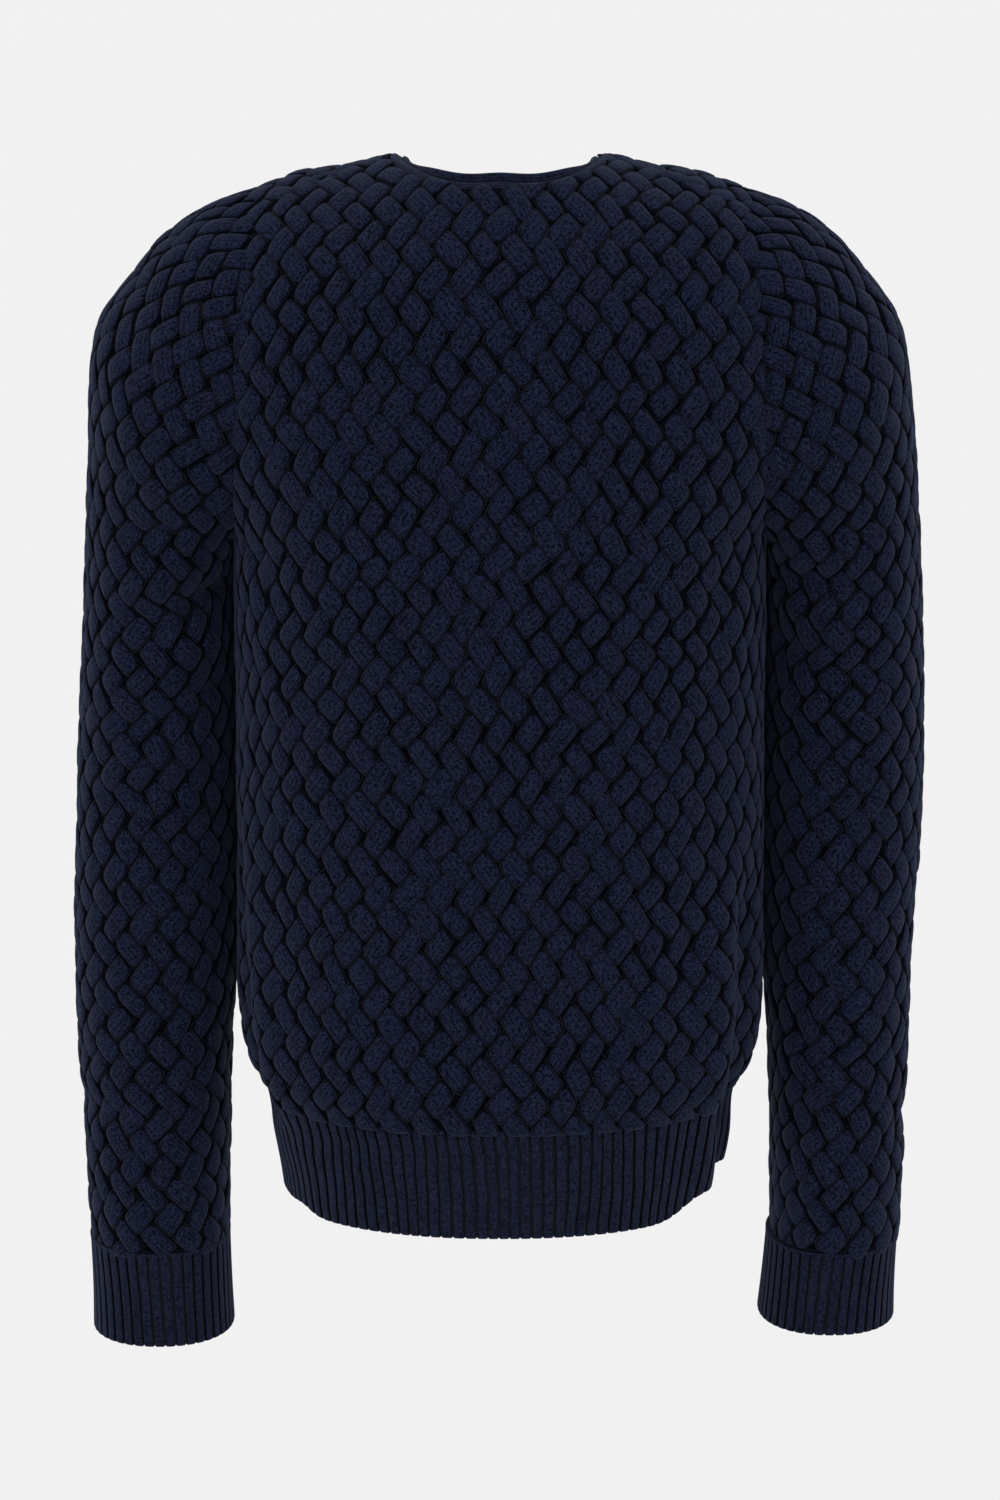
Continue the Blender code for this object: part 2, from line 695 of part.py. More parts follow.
def section(out_point, in_point, half_depth, mid_y, power, count):
    """An even ring through a sleeve's outer and inner points, starting at the outer one."""
    a = np.linspace(0, 2 * math.pi, 8 * CURVE_SAMPLES + 1)
    middle = (out_point + in_point) / 2
    reach = (out_point - in_point) / 2
    ring = middle + reach * signed_power(np.cos(a), 2 / power)[:, None]
    ring[:, 1] += mid_y + half_depth * signed_power(np.sin(a), 2 / power)
    return even(ring, count + 1)


def armhole_ring(back_edge, front_edge, side, count):
    """The armhole's own edge as an even ring: over the back, the underarm, then the front."""
    loop = np.concatenate([back_edge, front_edge[::-1]])
    loop = np.concatenate([loop, loop[:1]]) * np.array([side, 1.0, 1.0])
    top = len(loop) - 1 - int(np.argmax(loop[::-1, 2] - 1e-6 * np.arange(len(loop))))
    crest = np.array([[SHOULDER_X, 0.0, SHOULDER_Z]])
    high = [i for i in range(len(loop) - 1) if loop[i, 1] <= 0 < loop[i + 1, 1]
            and loop[i, 2] > ARMHOLE_MID_Z]
    cut = high[0] if high else top
    ring = np.concatenate([crest, loop[cut + 1:-1], loop[:cut + 1], crest])
    return even(ring, count + 1)


def sleeve_rings(side, back_edge, front_edge):
    """Rings down a sleeve: a fan about the underarm over the cap, then level to the cuff."""
    count = 2 * SLEEVE_CELLS_ROUND
    path = np.stack([SLEEVE["out_x"], SLEEVE["out_z"]], 1)
    tab = dict(SLEEVE, at=lengths(path))
    tab["out_x"] = tab["out_x"] + (tab["left"] if side > 0 else tab["right"])
    rows = round(tab["at"][-1] / SLEEVE_ROW_HEIGHT)
    first = armhole_ring(back_edge, front_edge, side, count)
    rings = []
    for r in range(rows + 1):
        here = tab["at"][-1] * r / rows
        read = {n: float(smooth(tab, "at", n, here)) for n in tab if n != "at"}
        ring = section(
            np.array([read["out_x"], 0.0, read["out_z"]]),
            np.array([read["in_x"], 0.0, read["in_z"]]),
            read["half_depth"], read["mid_y"], read["power"], count,
        )
        if r == 0:
            change = first - ring
        blend = max(0.0, 1 - r / SLEEVE_FAN_END) ** 2
        ring = ring + change * blend
        ring[:, 0] += 2 * SEAM_GAP
        rings.append(ring * np.array([side, 1.0, 1.0]))
    return np.array(rings)


def checker(rings, height):
    """Which points of a tube are raised, and how far: less where the rows crowd together."""
    rows, count = rings.shape[0], rings.shape[1] - 1
    gap = np.linalg.norm(np.gradient(rings, axis=0), axis=2)[:, :-1]
    room = np.clip((gap / SLEEVE_ROW_HEIGHT - 0.35) / 0.4, 0, 1)
    up = (np.arange(rows)[:, None] + np.arange(count)[None, :]) % 2 == 0
    up[0] = up[-1] = False
    return np.where(up, height * room * underarm_room(rings[:, :-1]), 0.0)


def make_sleeve(side, back_edge, front_edge, material):
    rings = sleeve_rings(side, back_edge, front_edge)
    out = -side * grid_normals(rings, closed=True)
    level_row(out, -1)
    out[0, :, 0] = 0.0
    out[0] = unit(out[0])
    name = "sleeve_left" if side > 0 else "sleeve_right"
    wall_tube(name, material, rings, out, checker(rings, WEAVE_HEIGHT), WALL, INNER_ROW_STEP, 2)


def rib_rise(rows, count):
    return np.tile(np.where(np.arange(count) % 2 == 0, RIB_HEIGHT, 0.0), (rows, 1))


def make_cuff(row, material):
    """One turned cuff, a ribbed tube just below the sleeve."""
    cuff = {name: column[row] for name, column in CUFFS.items()}
    side = cuff["side"]
    rings = []
    for end in ("top", "end"):
        z = cuff["z_" + end]
        ring = section(
            np.array([cuff["out_" + end] - RIB_HEIGHT, 0.0, z]),
            np.array([cuff["in_" + end] + RIB_HEIGHT, 0.0, z]),
            cuff["depth_" + end], cuff["mid_y"], 2.2, 2 * CUFF_RIBS,
        )
        rings.append(ring * np.array([side, 1.0, 1.0]))
    rings = np.array(rings)
    out = -side * grid_normals(rings, closed=True)
    level_row(out, 0)
    level_row(out, 1)
    name = "cuff_left" if side > 0 else "cuff_right"
    wall_tube(name, material, rings, out, rib_rise(2, 2 * CUFF_RIBS), RIB_WALL, 1, 4)


def hem_ring(z):
    """One level line of the hem, from the front band's left edge round the back to the right."""
    x_start = BAND_WIDTH / 2 + SEAM_GAP
    quarters = {}
    for side in (+1, -1):
        for panel in (+1, -1):
            start = x_start if panel < 0 else 0.0
            line = ring_curve(z, panel, start) * np.array([side, 1.0, 1.0])
            line[-1, 1] = 0.0
            pair = np.stack([line, line - np.array([0, 0, 0.001])])
            quarters[panel, side] = settle_folds(pair, panel, side, start)[0]
    line = np.concatenate([
        quarters[-1, +1], quarters[+1, +1][-2::-1],
        quarters[+1, -1][1:], quarters[-1, -1][-2::-1],
    ])
    return line


def make_hem(material):
    """The ribbed hem: one strip from band to band."""
    heights = (HEM_SEAM_Z - SEAM_GAP, HEM_Z)
    lines = [hem_ring(z) for z in heights]
    count = 2 * round(float(lengths(lines[0])[-1]) / RIB_PITCH)
    grid = np.array([even(line, count + 1) for line in lines])
    out = -grid_normals(grid)
    level_row(out, 0)
    level_row(out, -1)
    mesh = Mesh()
    outer, inner = [], []
    lift = np.where(np.arange(count + 1) % 2 == 1, RIB_HEIGHT, 0.0)
    picks = list(range(0, count, 4)) + [count]
    for r in range(len(grid)):
        outer.append(mesh.add(grid[r] + out[r] * lift[:, None]))
        inner.append(mesh.add(grid[r, picks] - out[r, picks] * RIB_WALL))
    every = range(count + 1)
    for a, b in zip(outer, outer[1:]):
        mesh.strip(a, every, b, every)
    for a, b in zip(inner, inner[1:]):
        mesh.strip(a, picks, b, picks)
    for r in (0, -1):
        mesh.strip(outer[r], every, inner[r], picks)
    for end in (0, -1):
        mesh.strip([line[end] for line in outer], range(2), [line[end] for line in inner], range(2))
    mesh.build("hem_rib", material)


def make_neck_band(front_necks, back_neck, material):
    """A plain narrow band that stands off the neckline, from one front band to the other."""
    mirror = np.array([-1.0, 1.0, 1.0])
    runs = []
    for field in ("points", "out"):
        left, right = front_necks[+1][field], front_necks[-1][field]
        back = back_neck[field]
        runs.append(np.concatenate([left, back[-2::-1], back[1:-1] * mirror, right[::-1]]))
    at = lengths(runs[0])
    where = np.linspace(0, at[-1], NECK_BAND_STATIONS + 1)
    line, normal = [read_at(values, at, where) for values in runs]
    normal = unit(normal)
    along = unit(np.gradient(line, axis=0))
    rise = unit(np.cross(along, normal))
    rise *= np.sign(rise[:, 2:] + 1e-9)
    rise[[0, -1], 0] = 0.0
    normal[[0, -1], 0] = 0.0
    corners = (
        (NECK_BAND_GAP, 0.0),
        (NECK_BAND_HEIGHT - 0.001, 0.0),
        (NECK_BAND_HEIGHT, -NECK_BAND_THICKNESS / 2),
        (NECK_BAND_HEIGHT - 0.001, -NECK_BAND_THICKNESS),
        (NECK_BAND_GAP, -NECK_BAND_THICKNESS),
    )
    mesh = Mesh()
    rails = [mesh.add(line + rise * up + normal * deep) for up, deep in corners]
    every = range(len(line))
    for a, b in zip(rails, rails[1:] + rails[:1]):
        mesh.strip(a, every, b, every)
    for end in (0, -1):
        mesh.faces.append(tuple(rail[end] for rail in rails))
    mesh.build("neck_band", material)


def front_line():
    """The middle of the front from the hem up to the top of the neck band, in (y, z)."""
    heights = np.linspace(HEM_Z, ARMHOLE_MID_Z, 16)
    points = [(-float(smooth(BODY, "z", "front", z)), z) for z in heights]
    crest = np.array([0.0, 0.0, float(smooth(CREST, "x", "z", 0.0))])
    level = np.array([0.0, points[-1][0], ARMHOLE_MID_Z])
    stop = neck_angle(crest, level, -1)
    for a in np.linspace(math.pi / 2, stop, 4)[1:]:
        p = arc_point(crest, level, a)
        points.append((p[1], p[2]))
    points = np.array(points)
    top = points[-1:] + unit(points[-1:] - points[-2:-1]) * NECK_BAND_HEIGHT
    return np.concatenate([points, top])


def band_frame():
    line = front_line()
    along = unit(np.gradient(line, axis=0))
    out = np.stack([-along[:, 1], along[:, 0]], 1)
    return line, out


def make_band(name, top_depth, material):
    """A front band: a flat strip whose outer face lies top_depth below the front's own line."""
    line, out = band_frame()
    mesh = Mesh()
    rails = []
    for x, depth in (
        (-BAND_WIDTH / 2, top_depth), (BAND_WIDTH / 2, top_depth),
        (BAND_WIDTH / 2, top_depth + BAND_THICKNESS), (-BAND_WIDTH / 2, top_depth + BAND_THICKNESS),
    ):
        flat = line - out * depth
        rails.append(mesh.add(np.stack([np.full(len(flat), x), flat[:, 0], flat[:, 1]], 1)))
    every = range(len(line))
    for a, b in zip(rails, rails[1:] + rails[:1]):
        mesh.strip(a, every, b, every)
    for end in (0, -1):
        mesh.faces.append(tuple(rail[end] for rail in rails))
    mesh.build(name, material)


def make_buttons(material):
    """Plain round buttons down the upper band, each a turned disc with a raised rim."""
    line, out = band_frame()
    at = lengths(line)
    places = np.linspace(BUTTON_HEM_RISE, at[-1] - BUTTON_TOP_DROP, BUTTON_COUNT)
    profile = (
        (BUTTON_RADIUS - 0.0008, 0.0),
        (BUTTON_RADIUS, BUTTON_THICKNESS * 0.5),
        (BUTTON_RADIUS - 0.0015, BUTTON_THICKNESS),
    )
    segments = 10
    for number, place in enumerate(places[::-1], 1):
        foot = read_at(line, at, [place])[0]
        facing = unit(read_at(out, at, [place]))[0]
        mesh = Mesh()
        rings = []
        for radius, rise in profile:
            turn = np.arange(segments) * 2 * math.pi / segments
            flat = np.stack([radius * np.cos(turn), radius * np.sin(turn)], 1)
            centre = foot + facing * (BAND_PROUD + SEAM_GAP + rise)
            rings.append(mesh.add(np.stack([
                flat[:, 0],
                centre[0] - facing[1] * flat[:, 1],
                centre[1] + facing[0] * flat[:, 1],
            ], 1)))
        every = range(segments + 1)
        for a, b in zip(rings, rings[1:]):
            mesh.strip(a + a[:1], every, b + b[:1], every)
        mesh.faces += [tuple(rings[0]), tuple(rings[-1])]
        mesh.build(f"button_{number}", material)


def finish(name, colour, roughness):
    """A plain matte finish."""
    material = bpy.data.materials.new(name)
    material.use_nodes = True
    shader = material.node_tree.nodes["Principled BSDF"]
    shader.inputs["Base Color"].default_value = colour
    shader.inputs["Roughness"].default_value = roughness
    shader.inputs["Metallic"].default_value = 0.0
    material.diffuse_color = colour
    return material


def main():
    for thing in list(bpy.data.objects):
        bpy.data.objects.remove(thing, do_unlink=True)
    back_edges, back_neck = make_back(finish("navy_weave_back", NAVY, KNIT_ROUGHNESS))
    front_necks = {}
    for side, word in ((+1, "left"), (-1, "right")):
        weave = finish(f"navy_weave_front_{word}", NAVY, KNIT_ROUGHNESS)
        front_edge, front_necks[side] = make_front(side, weave)
        weave = finish(f"navy_weave_sleeve_{word}", NAVY, KNIT_ROUGHNESS)
        make_sleeve(side, back_edges[side], front_edge, weave)
    for row, word in enumerate(("left", "right")):
        make_cuff(row, finish(f"navy_rib_cuff_{word}", NAVY_RIB, KNIT_ROUGHNESS))
    make_hem(finish("navy_rib_hem", NAVY_RIB, KNIT_ROUGHNESS))
    make_neck_band(front_necks, back_neck, finish("navy_neck_band", NAVY_RIB, KNIT_ROUGHNESS))
    make_band("band_left", -BAND_PROUD, finish("navy_band_left", NAVY_RIB, KNIT_ROUGHNESS))
    under = BAND_THICKNESS - BAND_PROUD + SEAM_GAP
    make_band("band_right", under, finish("navy_band_right", NAVY_RIB, KNIT_ROUGHNESS))
    make_buttons(finish("navy_button", NAVY_HORN, HORN_ROUGHNESS))


main()
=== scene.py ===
import math

import bmesh
import bpy
import numpy as np
from mathutils import Matrix, Vector
from mathutils.geometry import delaunay_2d_cdt
from mathutils.kdtree import KDTree


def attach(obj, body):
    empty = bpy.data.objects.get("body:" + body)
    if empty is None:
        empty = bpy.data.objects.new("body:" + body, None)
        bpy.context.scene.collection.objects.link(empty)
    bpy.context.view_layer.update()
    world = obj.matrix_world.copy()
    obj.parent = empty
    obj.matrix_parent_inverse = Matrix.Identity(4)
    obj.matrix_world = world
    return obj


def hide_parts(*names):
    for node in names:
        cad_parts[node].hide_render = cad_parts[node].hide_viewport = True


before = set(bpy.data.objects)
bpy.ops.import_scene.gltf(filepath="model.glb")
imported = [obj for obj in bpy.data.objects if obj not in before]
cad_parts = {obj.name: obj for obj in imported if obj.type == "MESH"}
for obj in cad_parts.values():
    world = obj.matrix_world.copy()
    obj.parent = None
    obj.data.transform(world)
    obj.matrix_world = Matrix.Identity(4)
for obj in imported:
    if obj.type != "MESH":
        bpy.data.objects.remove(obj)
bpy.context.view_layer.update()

# A cardigan in chunky basket weave, filled out as worn. Metres, +Z up, the front faces -Y.
# Each woven panel is a thin cloth with its woven lengths of knit laid over it one by one.


def columns(names, rows):
    # a table, kept as one array for each column
    return dict(zip(names, np.array(rows, float).T))


def eachRow(table):
    # its rows again, one after another
    return [dict(zip(table, row)) for row in zip(*table.values())]


# the form, the same as the solids'
form = {
    "wall": 0.0030,
    "cellWidth": 0.0188,
    "rowHeight": 0.0166,
    "ribPitch": 0.0070,
    "ribHeight": 0.0015,
    "ribWall": 0.0026,
    "seamGap": 0.0003,
    "calmNear": 0.008,   # within these distances of the underarm the weave rises to its full height
    "calmFar": 0.034,
    "shoulderX": 0.1500,
    "shoulderZ": -0.0225,
    "underarmX": 0.1640,
    "underarmZ": -0.2325,
    "armholeHalfDepth": 0.0800,
    "shoulderSeamBack": 0.0350,
    "shoulderSeamRun": 0.0700,
    "neckHalfWidth": 0.0680,
    "neckBack": 0.0700,
    "neckBackPower": 2.2,
    "neckDrop": 0.0840,
    "neckDropPower": 2.3,
    "bandWidth": 0.0280,
    "bandThickness": 0.0035,
    "bandProud": 0.0020,
    "neckBandHeight": 0.0120,
    "neckBandThickness": 0.0042,
    "neckBandGap": 0.0007,
    "buttonCount": 6,
    "buttonRadius": 0.0100,
    "buttonThickness": 0.0040,
    "buttonTopDrop": 0.0220,
    "buttonHemRise": 0.0300,
    "hemSeamZ": -0.5950,
    "hemZ": -0.6700,
    "columns": 65,
    "rowParts": 4,       # finer rows between two rows of cells
}
armholeMidZ = (form["shoulderZ"] + form["underarmZ"]) / 2

crest = columns(("x", "z"), [
    (0.000, 0.0160), (0.040, 0.0060), (0.068, -0.0040), (0.095, -0.0085), (0.121, -0.0120),
    (form["shoulderX"], form["shoulderZ"]),
])

body = columns(("z", "halfWidth", "back", "front", "power"), [
    (-0.6700, 0.1385, 0.0965, 0.0975, 2.20),
    (-0.6300, 0.1455, 0.1000, 0.1000, 2.20),
    (form["hemSeamZ"], 0.1515, 0.1025, 0.1020, 2.25),
    (-0.5800, 0.1590, 0.1040, 0.1050, 2.30),
    (-0.5600, 0.1640, 0.1045, 0.1070, 2.35),
    (-0.5300, 0.1660, 0.1045, 0.1080, 2.40),
    (-0.4700, 0.1655, 0.1050, 0.1090, 2.40),
    (-0.4000, 0.1645, 0.1070, 0.1110, 2.40),
    (-0.3200, 0.1640, 0.1110, 0.1135, 2.45),
    (-0.2400, 0.1640, 0.1155, 0.1130, 2.50),
    (-0.1800, 0.1640, 0.1165, 0.1070, 2.50),
    (armholeMidZ, 0.1640, 0.1150, 0.0980, 2.50),
])

# soft folds down the body: panel (+1 the back), side (+1 the wearer's left), top and end,
# distance from the middle at both, half width, height
folds = columns(("panel", "side", "zTop", "zEnd", "sTop", "sEnd", "halfWidth", "height"), [
    (+1, +1, -0.400, -0.600, 0.178, 0.154, 0.014, +0.0040),
    (+1, +1, -0.400, -0.600, 0.204, 0.180, 0.018, -0.0070),
    (+1, -1, -0.420, -0.690, 0.150, 0.144, 0.014, +0.0045),
    (+1, -1, -0.420, -0.690, 0.178, 0.170, 0.018, -0.0090),
    (-1, +1, -0.430, -0.640, 0.150, 0.140, 0.020, -0.0060),
    (-1, -1, -0.400, -0.620, 0.165, 0.150, 0.020, -0.0060),
])

sleeve = columns(
    ("outX", "outZ", "inX", "inZ", "halfDepth", "midY", "power", "left", "right"), [
        (form["shoulderX"], form["shoulderZ"], form["underarmX"], form["underarmZ"],
         form["armholeHalfDepth"], 0.0, 2.0, 0.0, 0.0),
        (0.1750, -0.0312, 0.1655, -0.2360, 0.0800, 0.000, 2.0, 0.000, 0.000),
        (0.2030, -0.0490, 0.1673, -0.2400, 0.0795, -0.002, 2.0, 0.000, 0.000),
        (0.2283, -0.0780, 0.1690, -0.2450, 0.0785, -0.004, 2.0, 0.000, 0.000),
        (0.2458, -0.1020, 0.1700, -0.2495, 0.0770, -0.007, 2.1, 0.000, -0.001),
        (0.2522, -0.1350, 0.1705, -0.2540, 0.0750, -0.011, 2.1, 0.000, 0.000),
        (0.2548, -0.1650, 0.1706, -0.2580, 0.0730, -0.015, 2.2, -0.001, 0.001),
        (0.2575, -0.2050, 0.1706, -0.2620, 0.0710, -0.020, 2.2, -0.001, 0.002),
        (0.2608, -0.2620, 0.1705, -0.2700, 0.0690, -0.026, 2.2, -0.001, 0.003),
        (0.2657, -0.3300, 0.1703, -0.3300, 0.0660, -0.031, 2.2, -0.001, 0.002),
        (0.2695, -0.4200, 0.1703, -0.4200, 0.0630, -0.035, 2.2, 0.001, 0.000),
        (0.2695, -0.5000, 0.1722, -0.5000, 0.0600, -0.036, 2.2, 0.004, -0.004),
        (0.2680, -0.5800, 0.1785, -0.5800, 0.0560, -0.034, 2.2, 0.005, -0.004),
        (0.2665, -0.6500, 0.1805, -0.6500, 0.0520, -0.031, 2.2, 0.003, -0.004),
        (0.2630, -0.7090, 0.1815, -0.7090, 0.0480, -0.029, 2.2, 0.004, -0.002),
    ])

cuffs = columns(
    ("side", "zTop", "zEnd", "inTop", "outTop", "inEnd", "outEnd", "depthTop", "depthEnd", "midY"),
    [
        (+1, -0.7095, -0.7745, 0.1795, 0.2710, 0.1775, 0.2705, 0.0485, 0.0470, -0.029),
        (-1, -0.7095, -0.7665, 0.1770, 0.2630, 0.1720, 0.2620, 0.0485, 0.0470, -0.029),
    ])


# points along the curves that the pieces are made from
fine = {
    "ring": 120,             # half of a level ring of the body
    "arc": 30,               # from the shoulder down to the middle of the armhole
    "overCrest": 8,          # the part of a front that reaches over the shoulder
    "levels": 80,            # rings below the middle of the armhole
    "section": 961,          # round a sleeve
    "armhole": 400,
    "neck": 40,              # half of the neckline
    "halvings": 40,          # halvings that find the neckline on a line
}


def readColumn(tab, key, name, value):
    # a smooth curve through the rows
    x, y = tab[key], tab[name]
    if x[0] > x[-1]:
        x, y = x[::-1], y[::-1]
    slope = np.gradient(y, x)
    value = np.clip(value, x[0], x[-1])
    i = np.clip(np.searchsorted(x, value) - 1, 0, len(x) - 2)
    span = x[i + 1] - x[i]
    t = (value - x[i]) / span
    return (
        y[i] * (1 + 2 * t) * (1 - t) ** 2
        + slope[i] * span * t * (1 - t) ** 2
        + y[i + 1] * t * t * (3 - 2 * t)
        + slope[i + 1] * span * t * t * (t - 1)
    )


def ease(t):
    t = np.clip(t, 0.0, 1.0)
    return t * t * (3 - 2 * t)


def swell(away, width):
    # 1 at its middle, dying away on both sides
    return np.exp(-((away / width) ** 2))


def mixed(start, end, share):
    return start * (1 - share) + end * share


def lengths(points):
    # the distance to each point along a line
    steps = np.linalg.norm(np.diff(points, axis=0), axis=1)
    return np.concatenate([[0.0], np.cumsum(steps)])


def readAt(points, at, where):
    return np.stack([np.interp(where, at, points[:, i]) for i in range(points.shape[1])], 1)


def evenLine(points, count):
    at = lengths(points)
    return readAt(points, at, np.linspace(0, at[-1], count))


def unit(v):
    return v / np.maximum(np.linalg.norm(v, axis=-1, keepdims=True), 1e-12)


def signedPower(v, p):
    return np.sign(v) * np.abs(v) ** p


def armholeX(z):
    drop = (form["shoulderZ"] - z) / (form["shoulderZ"] - form["underarmZ"])
    return form["shoulderX"] + (form["underarmX"] - form["shoulderX"]) * drop


def seamPoint(z):
    # where a level ring ends: on the armhole, or on the side seam below it
    if z <= form["underarmZ"]:
        return float(readColumn(body, "z", "halfWidth", z)), 0.0
    rise = (z - armholeMidZ) / (form["shoulderZ"] - armholeMidZ)
    return armholeX(z), form["armholeHalfDepth"] * math.sqrt(max(0.0, 1 - rise * rise))


def ringCurve(z, panel, xStart):
    # half of a level ring of the back (+1) or front (-1)
    depth = float(readColumn(body, "z", "back" if panel > 0 else "front", z))
    power = float(readColumn(body, "z", "power", z))
    xSeam, ySeam = seamPoint(z)
    lean = math.acos((ySeam / depth) ** (power / 2))
    xFull = xSeam / math.sin(lean) ** (2 / power)
    start = math.asin((xStart / xFull) ** (power / 2)) if xStart else 0.0
    a = np.linspace(start, lean, fine["ring"])
    x = xFull * np.sin(a) ** (2 / power)
    y = panel * depth * np.abs(np.cos(a)) ** (2 / power)
    x[-1], y[-1] = xSeam, panel * ySeam
    return np.stack([x, y, np.full_like(x, z)], 1)


def arcPoint(top, level, a):
    # a quarter ellipse from the shoulder crest down to the middle of the armhole
    fall = 1 - math.cos(a)
    return np.array([
        top[0] + (level[0] - top[0]) * fall,
        level[1] * math.sin(a),
        top[2] + (level[2] - top[2]) * fall,
    ])


def neckAngle(top, level, panel):
    # where that arc crosses the neckline
    highPoint = float(readColumn(crest, "x", "z", form["neckHalfWidth"]))

    def outside(a):
        x, y, z = arcPoint(top, level, a)
        across = abs(x) / form["neckHalfWidth"]
        if panel > 0:
            power = form["neckBackPower"]
            return across ** power + (y / form["neckBack"]) ** power > 1
        power = form["neckDropPower"]
        return across ** power + (max(0.0, highPoint - z) / form["neckDrop"]) ** power > 1

    if outside(0.0):
        return 0.0
    low, high = 0.0, math.pi / 2
    for _ in range(fine["halvings"]):
        middle = (low + high) / 2
        low, high = (low, middle) if outside(middle) else (middle, high)
    return high


def arcLine(top, level, behind, panel, stop=math.pi / 2):
    # a column's start: from the shoulder seam over the crest and down
    run = (top[0] - form["neckHalfWidth"]) / form["shoulderSeamRun"]
    seam = math.asin(form["shoulderSeamBack"] * float(ease(run)) / abs(behind[1]))
    if panel > 0:
        return [arcPoint(top, level, a) for a in np.linspace(seam, stop, fine["arc"])]
    over = np.linspace(seam, 0, fine["overCrest"])[:-1] if seam else []
    return ([arcPoint(top, behind, a) for a in over]
            + [arcPoint(top, level, a) for a in np.linspace(0, stop, fine["arc"])])


def gridNormals(grid, closed=False):
    wide = np.concatenate([grid[:, -2:-1], grid, grid[:, 1:2]], 1) if closed else grid
    across = np.gradient(wide, axis=1)
    if closed:
        across = across[:, 1:-1]
    return unit(np.cross(across, np.gradient(grid, axis=0)))


# over what distances the folds and the creases die away
fades = {
    "foldTop": 0.070,
    "foldEnd": 0.020,
    "foldSeam": 0.012,
    "creaseEnds": 3.5,       # each end of a crease takes 1 / 3.5 of its length
    "creaseSeam": 0.010,
    "creaseCap": 0.020,
}


def foldHeight(panel, side, along, z):
    moved = np.zeros_like(along)
    for fold in eachRow(folds):
        if fold["panel"] != panel or fold["side"] != side:
            continue
        t = (z - fold["zTop"]) / (fold["zEnd"] - fold["zTop"])
        middle = fold["sTop"] + (fold["sEnd"] - fold["sTop"]) * np.clip(t, 0, 1)
        fade = ease((fold["zTop"] - z) / fades["foldTop"])
        fade *= ease((z - fold["zEnd"]) / fades["foldEnd"] + 1)
        moved += fold["height"] * swell(along - middle, fold["halfWidth"]) * fade
    return moved


def distancesAcross(grid, xStart):
    steps = np.linalg.norm(np.diff(grid, axis=1), axis=2)
    start = np.zeros((grid.shape[0], 1))
    return np.concatenate([start, np.cumsum(steps, 1)], 1) + xStart


def settleFolds(grid, panel, side, xStart):
    along = distancesAcross(grid, xStart)
    out = gridNormals(grid) * side * panel
    out[:, :, 2] = 0.0
    room = ease((along[:, -1:] - along) / fades["foldSeam"])
    moved = foldHeight(panel, side, along, grid[:, :, 2]) * room
    return grid + unit(out) * moved[:, :, None]


def underarmRoom(points):
    # 0 in the fold under the arm, where the weave has less room for its height, 1 away from it
    away = np.hypot(np.abs(points[..., 0]) - form["underarmX"], points[..., 2] - form["underarmZ"])
    return ease((away - form["calmNear"]) / (form["calmFar"] - form["calmNear"]))


